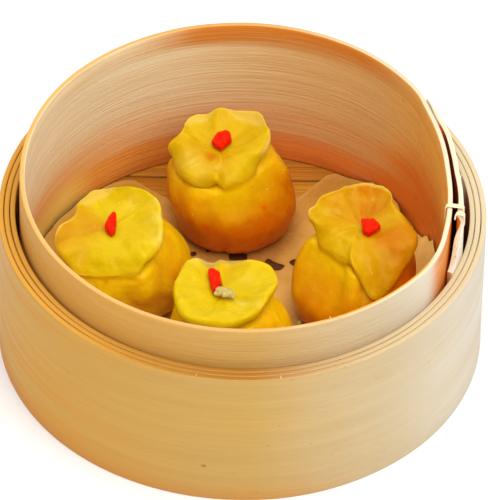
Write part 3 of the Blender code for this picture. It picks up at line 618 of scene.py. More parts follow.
def hoop_inside(finish, looks, place, drift, bands):
    """Inner face of the hoop: painted light, paler, on the left; painted shade, browner and darker
    low down, on the right.
    """
    across, depth, height = (finish.part(place, axis) for axis in "XYZ")
    turned = (across + depth * 0.25 + drift * 0.03).above(-0.045, 0.080)
    drifting = across + drift * 0.01
    right = drifting.above(0.046, 0.070)
    under_rim = (height + (bands - 0.5) * 0.004).above(0.066, 0.0765) * turned.above(0.0, 0.35)
    # Line under which painted shade darkens the lower inner face, higher towards the right
    low_shade_line = height + (bands - 0.5) * 0.008 + turned * 0.012 - right * 0.026
    return finish.layered(
        # The turn from pale on the left to orange on the right is painted light and shade from the
        # key light on the right
        finish.mix(turned, INSIDE.left, INSIDE.right),
        # Painted light on the left: a lit streak up high, and the far left
        (drifting.above(-0.068, -0.079) * height.above(0.045, 0.07) * 0.6, INSIDE.pale_streak),
        (across.above(-0.058, -0.076) * 0.7, INSIDE.far_left),
        # Painted shade on the far right
        (right * 0.85, INSIDE.far_right),
        (bands * 0.30, INSIDE.band),
        (under_rim * (1 - across.above(0.040, 0.070) * 0.8) * 0.95, looks.steamed),
        # Painted shade low on the inner face, deeper orange towards the right
        (low_shade_line.above(0.053, 0.020) * 0.9,
         finish.mix(turned, INSIDE.soaked_left, INSIDE.soaked_right)),
        # Painted light in the low corner on the far left
        (across.above(-0.054, -0.068) * height.above(0.034, 0.020), INSIDE.corner))


def hoop_bamboo(looks):
    """Bamboo of the tall hoop: outside pale, and paler towards the right as painted light; inside
    orange-brown towards the right, partly steamed and partly painted shade.
    """
    finish = Finish("hoop_bamboo")
    strip, place = finish.attribute("strip", "Vector"), finish.place()
    bands, streaks, lines = bamboo_grain(finish, strip)
    across, depth, height = (finish.part(place, axis) for axis in "XYZ")
    drift = finish.cloud(place, scale=14.0, detail=2.0) - 0.5
    right = (across + drift * 0.03).above(0.0, 0.075)
    inward = finish.attribute("inward")
    inside = inward.above(0.5, 0.9)
    rim = (inward * (1 - inward)).above(0.03, 0.16)
    # Painted light: an orange glow along the inner half of the rim, at the front on the right,
    # where light shines through the thin strip
    rim_glow_line = across.above(0.020, 0.034) * across.above(0.074, 0.066) * depth.above(-0.035, -0.048)
    rim_glow_line = inward.above(0.42, 0.62) * height.above(0.0782, 0.0788) * rim_glow_line
    gap = finish.attribute("gap") * finish.upright()
    colour = finish.layered(
        HOOP.left,
        # From left through middle and right to far right the outside grows paler: painted light
        # from the key light on the right, as are the right-hand fibres
        (across.above(-0.08, 0.01), HOOP.middle),
        (right, HOOP.right),
        (across.above(0.05, 0.08), HOOP.far_right),
        (bands * 0.35 * (1 - right), HOOP.band),
        (inside, hoop_inside(finish, looks, place, drift, bands)),
        (streaks * 0.22 + lines * 0.08,
         finish.mix(right * (1 - inside), looks.fibre, HOOP.fibre_right)),
        # The rim's top is painted paler than the faces as painted light: a painted highlight on the
        # left, paler still on the right
        (rim * 0.9, finish.layered(HOOP.rim_left, (across.above(-0.08, 0.0), HOOP.rim),
                                   (right, HOOP.rim_right))),
        (rim_glow_line * 0.9, HOOP.rim_inside),
        # Painted shade, with stain, in the gap behind the lap; darkest deep in the gap
        (gap.above(0.04, 0.48), finish.mix(streaks, HOOP.stained, HOOP.stained_streak)),
        (gap.above(0.52, 0.95), HOOP.stained_dark),
        (bamboo_marks(finish, strip) * 0.55, HOOP.knot))
    roughness = 0.40 + streaks * 0.18 - inside * 0.06
    relief = streaks * 0.7 + lines * 0.4 + bands * 0.5
    return finish.dress(colour, roughness, relief,
                        depth=0.18 * MM, strength=0.6, gloss=WOOD_GLOSS)


def slat_bamboo():
    """Bamboo of the floor and the pieces under it: painted dark under the liner, as painted shade
    and wet.
    """
    finish = Finish("slat_bamboo")
    place = finish.place()
    streaks = finish.cloud(finish.stretched(place, (16.0, 800.0, 800.0)), detail=4.0)
    streaks = streaks.above(0.36, 0.66)
    bands = finish.cloud(finish.stretched(place, (8.0, 90.0, 90.0)), detail=2.0).above(0.35, 0.65)
    middle = finish.length(finish.stretched(place, (1.0, 1.0, 0.0)))
    wet = (middle + (bands - 0.5) * 0.006).above(0.0705, 0.066)
    covered = wet * finish.part(place, "Y").above(0.058, 0.052)
    upper_side = finish.part(place, "Z").above(0.0118, 0.0129)
    colour = finish.layered(
        finish.mix(bands, SLAT.plain, SLAT.band),
        (streaks * 0.4, SLAT.streak),
        # Painted shade, with wet, on the slats' tops under the liner
        (covered * upper_side * 0.96, SLAT.under_liner))
    return finish.dress(colour, 0.45 + streaks * 0.2, streaks,
                        depth=0.3 * MM, strength=0.7, gloss=WOOD_GLOSS)


def cane():
    """Pale split cane, streaked along its length."""
    finish = Finish("cane")
    streaks = finish.cloud(finish.stretched(finish.place(), (700.0, 700.0, 90.0)), detail=3.0)
    streaks = streaks.above(0.35, 0.65)
    colour = finish.mix(streaks, CANE.pale, CANE.streak)
    return finish.dress(colour, 0.38 + streaks * 0.15, streaks,
                        depth=0.2 * MM, strength=0.6, gloss={})


def damp_paper(looks):
    """Greaseproof paper, damp, wetter round the holes and under the dumplings."""
    finish = Finish("damp_paper")
    place = finish.place()
    across, depth = finish.part(place, "X"), finish.part(place, "Y")
    blots = finish.cloud(place, 46.0, 4.0, roughness=0.6, distortion=0.6).above(0.38, 0.68)
    pulp = finish.cloud(place, 900.0, 3.0, roughness=0.6).above(0.3, 0.7)
    crumple = finish.cloud(place, 85.0, 4.0, roughness=0.55, distortion=0.4)
    soaked = (finish.attribute("wet") * 0.75 + blots * 0.40).clamped()
    colour = finish.layered(
        finish.mix(soaked, looks.paper, looks.wet),
        # Painted shade on the paper at the back, on the right and on the left
        (depth.above(0.038, 0.060) * across.above(0.0, 0.03) * 0.75, PAPER.back_right),
        (across.above(-0.030, -0.042) * depth.above(0.02, 0.04) * 0.8, PAPER.back_left),
        # Painted light where the paper climbs the wall on the right
        (across.above(0.058, 0.068), PAPER.up_the_wall),
        (finish.attribute("edge") * 0.5, PAPER.edge),
        (pulp * 0.16, PAPER.pulp))
    return finish.dress(colour, 0.55 - soaked * 0.2, crumple + pulp * 0.05,
                        depth=1.1 * MM, strength=0.8, gloss=PAPER_GLOSS)


def dumpling_skin(looks):
    """Translucent wheat-starch skin over an orange filling, with a wet gloss."""
    finish = Finish("dumpling_skin")
    place = finish.place()
    thin, filling, fleck, pale, painted_sheen = (
        finish.attribute(name) for name in ("thin", "filling", "fleck", "pale", "painted_sheen"))
    lumps = finish.cloud(place, 95.0, 3.0, roughness=0.5, distortion=0.5).above(0.34, 0.66)
    grains = finish.cloud(place, 420.0, 3.0, roughness=0.6).above(0.35, 0.7)
    clouds = finish.cloud(place, 150.0, 2.0, roughness=0.5).above(0.35, 0.65)
    veins = finish.cloud(place, 230.0, 4.0, roughness=0.6, distortion=0.8)
    wrinkles = finish.cloud(place, 210.0, 3.0, roughness=0.5)
    rays = finish.stretched(finish.attribute("skin", "Vector"), (5.0, 5.0, 3.0))
    rays = finish.cloud(rays, detail=2.0)
    frosted = painted_sheen * (0.35 + grains * 0.65)
    collar = finish.layered(
        looks.collar,
        (clouds * 0.5, SKIN.collar_cloud),
        (veins.above(0.52, 0.72) * 0.35, SKIN.vein))
    meat = finish.layered(
        looks.filling,
        (lumps * 0.6, SKIN.meat_lump),
        (thin * 0.8, SKIN.meat_in_collar))
    colour = finish.layered(
        looks.skin,
        (lumps * 0.7, SKIN.lump),
        (thin * 0.88, collar),
        ((filling + (lumps - 0.5) * 0.30 * filling).clamped(), meat),
        ((fleck + (grains - 0.5) * 0.25 * fleck).above(0.15, 0.85) * 0.75, looks.fleck),
        (pale * 0.8, looks.edge),
        # Painted sheen: pale highlight patches on the lips
        (frosted * 0.75, SKIN.frosted),
        # Painted glints: tiny pale specks
        (finish.specks(place, scale=330.0, size=0.14, share=0.12) * 0.35, SKIN.speck))
    roughness = 0.28 + lumps * 0.10 - frosted * 0.12
    relief = rays * 0.12 + wrinkles * 0.5 + veins * 0.25 + grains * 0.12
    return finish.dress(colour, roughness, relief,
                        depth=0.7 * MM, strength=0.7, gloss=SKIN_GLOSS)


def red_vegetable():
    """Moist red flesh with paler veins and cut edges."""
    finish = Finish("red_vegetable")
    place = finish.place()
    flesh = finish.cloud(place, 700.0, 3.0, roughness=0.55, distortion=0.5).above(0.35, 0.65)
    veins = finish.cloud(finish.stretched(place, (1500.0, 400.0, 800.0)), detail=2.0)
    veins = veins.above(0.4, 0.7)
    colour = finish.layered(
        finish.mix(flesh, RED.flesh, RED.deep),
        (veins * 0.3, RED.vein),
        (finish.attribute("edge") * 0.25, RED.cut_edge))
    return finish.dress(colour, 0.28 + flesh * 0.1, flesh + veins * 0.5,
                        depth=0.3 * MM, strength=0.5, gloss=RED_GLOSS)


def cream_meat():
    """Pale grainy crumbs of filling."""
    finish = Finish("cream_meat")
    place = finish.place()
    grain = finish.cloud(place, 900.0, 4.0, roughness=0.6).above(0.3, 0.7)
    blush = finish.cloud(place, 350.0, 2.0).above(0.45, 0.65)
    colour = finish.layered(MEAT.cream, (grain, MEAT.grain), (blush * 0.4, MEAT.blush))
    return finish.dress(colour, 0.42, grain, depth=0.4 * MM, strength=0.8, gloss=MEAT_GLOSS)


def plain_floor(looks):
    """Matt pale floor, very slightly uneven in tone."""
    finish = Finish("plain_floor")
    fibre = finish.cloud(finish.place(), 40.0, 3.0)
    colour = finish.mix(fibre, looks.floor, tuple(0.985 * shade for shade in looks.floor))
    return finish.dress(colour, 0.7, fibre, depth=0.2 * MM, strength=0.1, gloss=FLOOR_GLOW)


def shared(maker, *looks):
    """The material that maker makes, made once."""
    return bpy.data.materials.get(maker.__name__) or maker(*looks)


def smoothstep(low, high, value):
    """0 at low, 1 at high and smooth between; low may be the larger."""
    share = min(1.0, max(0.0, (value - low) / (high - low)))
    return share * share * (3.0 - 2.0 * share)


def bump(angle, middle, half_width):
    """A smooth hump of height 1 round the middle, 0 from half_width degrees away."""
    away = abs((angle - middle + 180.0) % 360.0 - 180.0)
    return 0.5 + 0.5 * math.cos(math.pi * away / half_width) if away < half_width else 0.0


def curve_value(knots, at, period=None):
    """A Catmull-Rom curve through (position, value) knots, closed where a period is given."""
    if period:
        first, last = knots[0], knots[-1]
        at = (at - first[0]) % period + first[0]
        ring = ((last[0] - period, last[1]), *knots, (first[0] + period, first[1]),
                (knots[1][0] + period, knots[1][1]))
    else:
        ring = ((2 * knots[0][0] - knots[1][0], knots[0][1]), *knots,
                (2 * knots[-1][0] - knots[-2][0], knots[-1][1]))
        at = min(max(at, knots[0][0]), knots[-1][0])
    for p0, p1, p2, p3 in zip(ring, ring[1:], ring[2:], ring[3:]):
        if p1[0] <= at <= p2[0]:
            break
    span = p2[0] - p1[0]
    t = (at - p1[0]) / span
    m1 = (p2[1] - p0[1]) / (p2[0] - p0[0]) * span
    m2 = (p3[1] - p1[1]) / (p3[0] - p1[0]) * span
    return ((2 * t**3 - 3 * t**2 + 1) * p1[1] + (t**3 - 2 * t**2 + t) * m1
            + (3 * t**2 - 2 * t**3) * p2[1] + (t**3 - t**2) * m2)


def round_noise(angle, frequency, seed):
    """Noise that closes round the circle, about -0.6 to 0.6."""
    turn = math.radians(angle)
    return noise.noise(Vector((math.cos(turn) * frequency, math.sin(turn) * frequency, seed)))


def angle_of(point):
    """Angle of a point round +Z."""
    return math.degrees(math.atan2(point.y, point.x))


def sections_of(node):
    """(angle, inner radius, outer radius, top) of a CAD strip at each of its facets."""
    found = {}
    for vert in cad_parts[node].data.vertices:
        angle = round(angle_of(vert.co), 1) % 360.0
        radius = vert.co.xy.length
        inner, outer, top = found.get(angle, (radius, radius, vert.co.z))
        found[angle] = (min(inner, radius), max(outer, radius), max(top, vert.co.z))
    return [(angle, *found[angle]) for angle in sorted(found)]


# Read once from the frame: what the liner, the lap and the ties follow
HOOP_SECTIONS = sections_of("hoop")
HOOP_INNER = [(angle, inner) for angle, inner, _, _ in HOOP_SECTIONS]
HOOP_OUTER = [(angle, outer) for angle, _, outer, _ in HOOP_SECTIONS]
LAP_SECTIONS = sorted(((angle + 180.0) % 360.0 - 180.0, *rest)
                      for angle, *rest in sections_of("hoop_lap"))
LAP_INNER = [(angle, inner) for angle, inner, _, _ in LAP_SECTIONS]
LAP_OUTER = [(angle, outer) for angle, _, outer, _ in LAP_SECTIONS]
LAP_TOP = [(angle, top) for angle, _, _, top in LAP_SECTIONS]


def hoop_inner_radius(angle):
    """Inner radius of the hoop, as the frame has it."""
    return curve_value(HOOP_INNER, angle % 360.0, 360.0)


def unit_vector(angle):
    """Flat vector of length 1 towards an angle."""
    return Vector((math.cos(math.radians(angle)), math.sin(math.radians(angle))))


def finish_piece(bm, name, material, nodes=()):
    """Make a bmesh into a finished piece of the basket that stands for the given CAD nodes."""
    bmesh.ops.recalc_face_normals(bm, faces=bm.faces)
    mesh = bpy.data.meshes.new(name)
    bm.to_mesh(mesh)
    bm.free()
    mesh.shade_smooth()
    mesh.set_sharp_from_angle(angle=math.radians(55.0))
    piece = bpy.data.objects.new(name, mesh)
    mesh.materials.append(material)
    bpy.context.scene.collection.objects.link(piece)
    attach(piece, "root")
    if nodes:
        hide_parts(*nodes)
    return piece


def corner_edges(bm, at_least=60.0):
    """Edges at which the faces turn by at least so many degrees."""
    return [edge for edge in bm.edges
            if math.degrees(edge.calc_face_angle(0.0)) > at_least]


def round_edges(bm, edges, width, segments=2):
    """Round edges to a width."""
    bmesh.ops.bevel(bm, geom=edges, offset=width, segments=segments, profile=0.5, affect="EDGES",
                    material=-1)


def raised_copy(bm, geom, height):
    """Extrude flat geometry straight up into a slab."""
    made = bmesh.ops.extrude_face_region(bm, geom=geom)
    raised = [item for item in made["geom"] if isinstance(item, bmesh.types.BMVert)]
    bmesh.ops.translate(bm, verts=raised, vec=(0.0, 0.0, height))


def spun_strip(inner, outer, foot, top, rounding):
    """A closed ring of bamboo strip with rounded edges and rows of faces up its sides."""
    bm = bmesh.new()
    corners = ((inner, foot), (outer, foot), (outer, top), (inner, top))
    verts = [bm.verts.new((radius, 0.0, height)) for radius, height in corners]
    edges = [bm.edges.new(pair) for pair in zip(verts, verts[1:] + verts[:1])]
    bmesh.ops.spin(bm, geom=verts + edges, cent=(0, 0, 0), axis=(0, 0, 1), angle=2 * math.pi,
                   steps=RING_STEPS, use_merge=True)
    round_edges(bm, corner_edges(bm), rounding)
    upright = [edge for edge in bm.edges
               if abs(edge.verts[0].co.z - edge.verts[1].co.z) > 0.5 * (top - foot)]
    bmesh.ops.subdivide_edges(bm, edges=upright, cuts=STRIP_ROWS - 1, use_grid_fill=True)
    return bm


def mark_strip(bm, outer_of, thickness_of, across_of, full=1.0):
    """Store where each point lies along and across its strip, and how far inward, full inside."""
    strip = bm.verts.layers.float_vector.new("strip")
    inward = bm.verts.layers.float.new("inward")
    for vert in bm.verts:
        angle = angle_of(vert.co)
        depth = outer_of(angle) - vert.co.xy.length
        share = depth / thickness_of(angle)
        vert[strip] = Vector((*(BASKET_R * unit_vector(angle)), across_of(vert.co.z, depth, share)))
        vert[inward] = full * min(1.0, max(0.0, share))


def across_ring(top):
    """Place across a ring's strip: up its outer face and on down its inner face."""
    return lambda height, depth, share: (height if share < 0.5 else 2.0 * top - height) + depth


def mark_gap(bm, table, share_of_depth):
    """Store how far each point lies in a gap painted with shade and stain: by angle, and by its
    depth in the strip.
    """
    gap = bm.verts.layers.float.new("gap")
    for vert in bm.verts:
        angle = angle_of(vert.co)
        vert[gap] = curve_value(table, angle) * share_of_depth(angle, vert.co.xy.length)


def roughen_strip(bm, foot, top, seed):
    """Waves of the faces and the uneven cut of the top edge; nothing grows outwards or up."""
    for vert in bm.verts:
        angle = angle_of(vert.co)
        near_top = smoothstep(top - CUT_ZONE, top, vert.co.z)
        cut = (round_noise(angle, LONG_WAVES, seed) * 0.7
               + round_noise(angle, SHORT_WAVES, seed + 3.0) * 0.3)
        height_share = (vert.co.z - foot) / (top - foot)
        wave = noise.noise(Vector((*(vert.co.xy * FACE_WAVES), height_share * 2.0 + seed)))
        vert.co.z -= near_top * EDGE_UNEVEN * (0.6 + cut)
        vert.co.xy -= vert.co.xy.normalized() * FACE_UNEVEN * (0.6 + wave)


def lofted(bm, sections):
    """Bridge sections of equal vertex counts into a bar with closed ends."""
    loops = [[bm.edges.new(pair) for pair in zip(section, section[1:] + section[:1])]
             for section in sections]
    for first, second in zip(loops, loops[1:]):
        bmesh.ops.bridge_loops(bm, edges=first + second)
    bm.faces.new(sections[0])
    bm.faces.new(sections[-1])


class STEAMER_OT_bands(bpy.types.Operator):
    """Make the three concentric bamboo bands of the thick wall"""
    bl_idname = "steamer.bands"
    bl_label = "Bands"

    def execute(self, context):
        looks = context.scene.bamboo_looks
        material = shared(wall_bamboo, looks)
        for seed, name in enumerate(BAND_NAMES):
            low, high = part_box(name)
            outer, inner = high.x, high.x - BAND_T
            bm = spun_strip(inner, outer, low.z, high.z, looks.rounding)
            mark_strip(bm, lambda angle: outer, lambda angle: BAND_T, across_ring(high.z))
            roughen_strip(bm, low.z, high.z, 7.0 * seed)
            if name == "inner_band":
                mark_gap(bm, LEDGE_GAP, lambda angle, radius: smoothstep(
                    0.3 * BAND_T, 0.2 * BAND_T, radius - inner))
            finish_piece(bm, f"bamboo_{name}", material, [name])
        return {"FINISHED"}


class STEAMER_OT_hoop(bpy.types.Operator):
    """Make the tall inner hoop, pushed in on the right where its strip laps"""
    bl_idname = "steamer.hoop"
    bl_label = "Hoop"

    def execute(self, context):
        looks = context.scene.bamboo_looks
        round_r = max(outer for _, outer in HOOP_OUTER)
        bm = spun_strip(round_r - HOOP_T, round_r, HOOP_FOOT, RIM_Z, looks.rounding)
        mark_strip(bm, lambda angle: round_r, lambda angle: HOOP_T, across_ring(RIM_Z))
        for vert in bm.verts:
            pushed_in = curve_value(HOOP_OUTER, angle_of(vert.co) % 360.0, 360.0) - round_r
            vert.co.xy += vert.co.xy.normalized() * pushed_in
        mark_gap(bm, HOOP_GAP, lambda angle, radius: smoothstep(
            0.5, 0.8, (radius - hoop_inner_radius(angle)) / HOOP_T))
        roughen_strip(bm, HOOP_FOOT, RIM_Z, 31.0)
        finish_piece(bm, "bamboo_hoop", shared(hoop_bamboo, looks), ["hoop"])
        return {"FINISHED"}


class STEAMER_OT_lap(bpy.types.Operator):
    """Make the free end of the hoop's strip, cut on a slope and split at its tip"""
    bl_idname = "steamer.lap"
    bl_label = "Hoop lap"

    ROUNDING = 0.12 * MM
    RAGGED = 1.2 * MM           # height of the split tip's teeth
    GRAIN_SHIFT = 0.3           # so that its grain isn't the hoop's

    def execute(self, context):
        looks = context.scene.bamboo_looks
        bm = bmesh.new()
        lofted(bm, [self.section(bm, step / LAP_STEPS) for step in range(LAP_STEPS + 1)])
        round_edges(bm, corner_edges(bm, 70.0), self.ROUNDING)
        mark_strip(bm, lambda angle: curve_value(LAP_OUTER, angle),
                   lambda angle: curve_value(LAP_OUTER, angle) - curve_value(LAP_INNER, angle),
                   lambda height, depth, share: height + self.GRAIN_SHIFT + depth, full=0.5)
        mark_gap(bm, HOOP_GAP, lambda angle, radius: smoothstep(
            0.35, 0.1, (radius - curve_value(LAP_INNER, angle)) / LAP_T))
        finish_piece(bm, "bamboo_hoop_lap", shared(hoop_bamboo, looks), ["hoop_lap"])
        return {"FINISHED"}

    def section(self, bm, share):
        """The lap's four corners at a share of its length."""
        first, last = LAP_SECTIONS[0][0], LAP_SECTIONS[-1][0]
        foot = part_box("hoop_lap")[0].z
        angle = first + (last - first) * share
        inner, outer = curve_value(LAP_INNER, angle), curve_value(LAP_OUTER, angle)
        outer += (LAP_REST - outer) * smoothstep(*LAP_THICKENS, angle)
        split = smoothstep(LAP_SPLIT_FROM, first, angle)
        ragged = self.RAGGED * split * noise.noise(Vector((angle * 1.7, 3.0, 0.0)))
        top = curve_value(LAP_TOP, angle) + ragged
        return [bm.verts.new((*(radius * unit_vector(angle)), height))
                for radius, height in ((inner, foot), (outer, foot), (outer, top), (inner, top))]


def softened_copy(node, width):
    """A bmesh of a CAD node with its triangles merged and its corners rounded."""
    bm = bmesh.new()
    bm.from_mesh(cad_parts[node].data)
    bmesh.ops.remove_doubles(bm, verts=bm.verts, dist=0.01 * MM)
    bmesh.ops.dissolve_limit(bm, angle_limit=math.radians(2.0), verts=bm.verts, edges=bm.edges)
    round_edges(bm, corner_edges(bm, 40.0), width)
    return bm


class STEAMER_OT_slats(bpy.types.Operator):
    """Make the floor of split slats with the battens and the narrow hoop under it"""
    bl_idname = "steamer.slats"
    bl_label = "Slats"

    def execute(self, context):
        looks = context.scene.bamboo_looks
        material = shared(slat_bamboo)
        for name in (*SLAT_NAMES, *UNDER_PIECES):
            bm = softened_copy(name, looks.rounding)
            finish_piece(bm, f"bamboo_{name}", material, [name])
        return {"FINISHED"}


def liner_radius(angle):
    """Radius of the liner's uneven, notched edge."""
    ruffle = (RUFFLE_H * math.cos(math.radians(LINER_RUFFLES * angle))
              + RAGGED_H * round_noise(angle, 9.0, 2.0))
    reach = LINER_R
    if LINER_EDGE[0][0] < angle % 360.0 < LINER_EDGE[-1][0]:
        reach = curve_value(LINER_EDGE, angle % 360.0) * MM
    reach = min(reach + ruffle, hoop_inner_radius(angle) - LINER_CLEAR)
    return reach - humps(angle, LINER_DIPS) * MM


def liner_height(point, wrinkle):
    """Height of the liner's underside: wrinkled, and climbing the wall outside its flat middle."""
    angle, radius = angle_of(point), point.length
    edge = max(liner_radius(angle), LINER_FLAT_R + MM)
    climb = humps(angle, LINER_LIFTS) * MM * smoothstep(LINER_FLAT_R, edge, radius)
    pleat = 0.5 + round_noise(angle, 14.0, 8.0)
    crumple = 0.5 + sum(noise.noise(point * scale) * share for scale, share in CRUMPLES)
    loose = 0.25 + 0.75 * smoothstep(0.5, 1.0, radius / LINER_FLAT_R)
    return LINER_FOOT + climb * (0.8 + 0.4 * pleat) + wrinkle * max(0.0, crumple) * loose


def hole_outline(angle, radius, length, width, bend, squareness, flat):
    """A slot along its circle; squareness below 1 is blockier, flat squashes its inner side."""
    turned = Matrix.Rotation(math.radians(angle), 2)
    points = []
    for step in range(HOLE_POINTS):
        turn = -2 * math.pi * (step + 0.5) / HOLE_POINTS
        cos, sin = math.cos(turn), math.sin(turn)
        along = 0.5 * length * math.copysign(abs(cos)**squareness, cos)
        across = 0.5 * width * math.copysign(abs(sin)**squareness, sin)
        if across < 0.0:
            across *= flat
        across += bend * (1.0 - (2 * along / length)**2)
        across += HOLE_UNEVEN * noise.noise(Vector((along, across, angle)))
        points.append(turned @ Vector((radius + across, along)) * MM)
    return points


def liner_holes():
    """Outlines of all holes: those that show, then the rows of hidden ones."""
    yield from (hole_outline(*hole) for hole in SEEN_HOLES)
    for radius, first, step, last in HIDDEN_RINGS:
        angle = first
        while angle < last:
            yield hole_outline(angle, radius, *HIDDEN_HOLE)
            angle += step


def middle_of(points):
    """Middle of flat points."""
    return sum(points, Vector((0.0, 0.0))) / len(points)


def grid_inside(outline_r, holes):
    """Points of a triangular grid inside the liner's edge and clear of its holes."""
    middles = [middle_of(hole) for hole in holes]
    clear = [max((point - middle).length for point in hole) + 0.5 * MM
             for middle, hole in zip(middles, holes)]
    count = int(LINER_R / LINER_GRID)
    for row in range(-count, count + 1):
        for column in range(-count, count + 1):
            point = Vector((column + 0.5 * (row % 2), row * GRID_ROW)) * LINER_GRID
            if (all((point - middle).length > away for middle, away in zip(middles, clear))
                    and point.length < outline_r(angle_of(point)) - 0.5 * LINER_GRID):
                yield point


class STEAMER_OT_liner(bpy.types.Operator):
    """Make the damp paper liner with its die-cut holes, wrinkles and turned-up edge"""
    bl_idname = "steamer.liner"
    bl_label = "Paper liner"

    def execute(self, context):
        looks = context.scene.liner_looks
        reach = [(360.0 * step / LINER_STEPS, liner_radius(360.0 * step / LINER_STEPS))
                 for step in range(LINER_STEPS)]
        outline = [radius * unit_vector(angle) for angle, radius in reach]
        holes = list(liner_holes())
        points, loops = [], []
        for loop in (outline, *holes):
            loops.append(list(range(len(points), len(points) + len(loop))))
            points.extend(loop)
        points.extend(grid_inside(lambda angle: curve_value(reach, angle % 360.0, 360.0), holes))
        flat, _, triangles, _, _, sources = geometry.delaunay_2d_cdt(points, [], loops, 1, 1e-6)
        bm = bmesh.new()
        verts = [bm.verts.new((*point, liner_height(point.to_3d(), looks.wrinkle)))
                 for point in flat]
        for triangle, source in zip(triangles, sources):
            if source == [0]:
                bm.faces.new([verts[index] for index in triangle])
        loose = [vert for vert in bm.verts if not vert.link_faces]
        bmesh.ops.delete(bm, geom=loose, context="VERTS")
        self.mark_paper(bm, [middle_of(hole) for hole in holes])
        raised_copy(bm, bm.faces[:] + bm.edges[:] + bm.verts[:], LINER_T)
        finish_piece(bm, "paper_liner", shared(damp_paper, looks), ["liner"])
        return {"FINISHED"}

    def mark_paper(self, bm, hole_middles):
        """Store how wet the paper is, from the dumplings and the holes, and where its edge is."""
        wet = bm.verts.layers.float.new("wet")
        edge = bm.verts.layers.float.new("edge")
        for vert in bm.verts:
            point = vert.co.xy
            feet = min((point / MM - Vector(spec["foot"])).length for spec in DUMPLINGS.values())
            near_hole = min((point - middle).length for middle in hole_middles) / MM
            vert[wet] = max(smoothstep(*WET_FROM_FOOT, feet),
                            0.55 * smoothstep(*WET_FROM_HOLE, near_hole))
            from_edge = liner_radius(angle_of(vert.co)) - point.length
            vert[edge] = smoothstep(*PALE_FROM_EDGE, from_edge / MM)


def humps(angle, bumps):
    """Sum of the (angle, half width, amount) bumps at an angle."""
    return sum(amount * bump(angle, middle, half) for middle, half, amount in bumps)


def plateau(angle, bumps, spread=1.0, level=0.55):
    """Largest of the (angle, half width, amount) bumps at an angle, each level in its middle."""
    return max((amount * smoothstep(0.0, level, bump(angle, middle, spread * half))
                for middle, half, amount in bumps), default=0.0)


def spot_share(spots, point):
    """How far a point lies inside any of the (x, y, size, share) spots, in mm."""
    return max((share * math.exp(-((point.x - x)**2 + (point.y - y)**2) / size**2)
                for x, y, size, share in spots), default=0.0)


def lip_reach(spec, angle):
    """How far the lip reaches from the collar's centre at an angle, in mm."""
    return curve_value(tuple((index * LIP_STEP, reach) for index, reach in enumerate(spec["lip"])),
                       angle, 360.0)


def petal_drop(spec, angle):
    """How far a petal of the lip hangs down at an angle, in mm."""
    if not spec["petal"]:
        return 0.0
    (high, _), (low, _) = spec["petal"][0], spec["petal"][-1]
    return curve_value(tuple(reversed(spec["petal"])), angle) if low < angle < high else 0.0


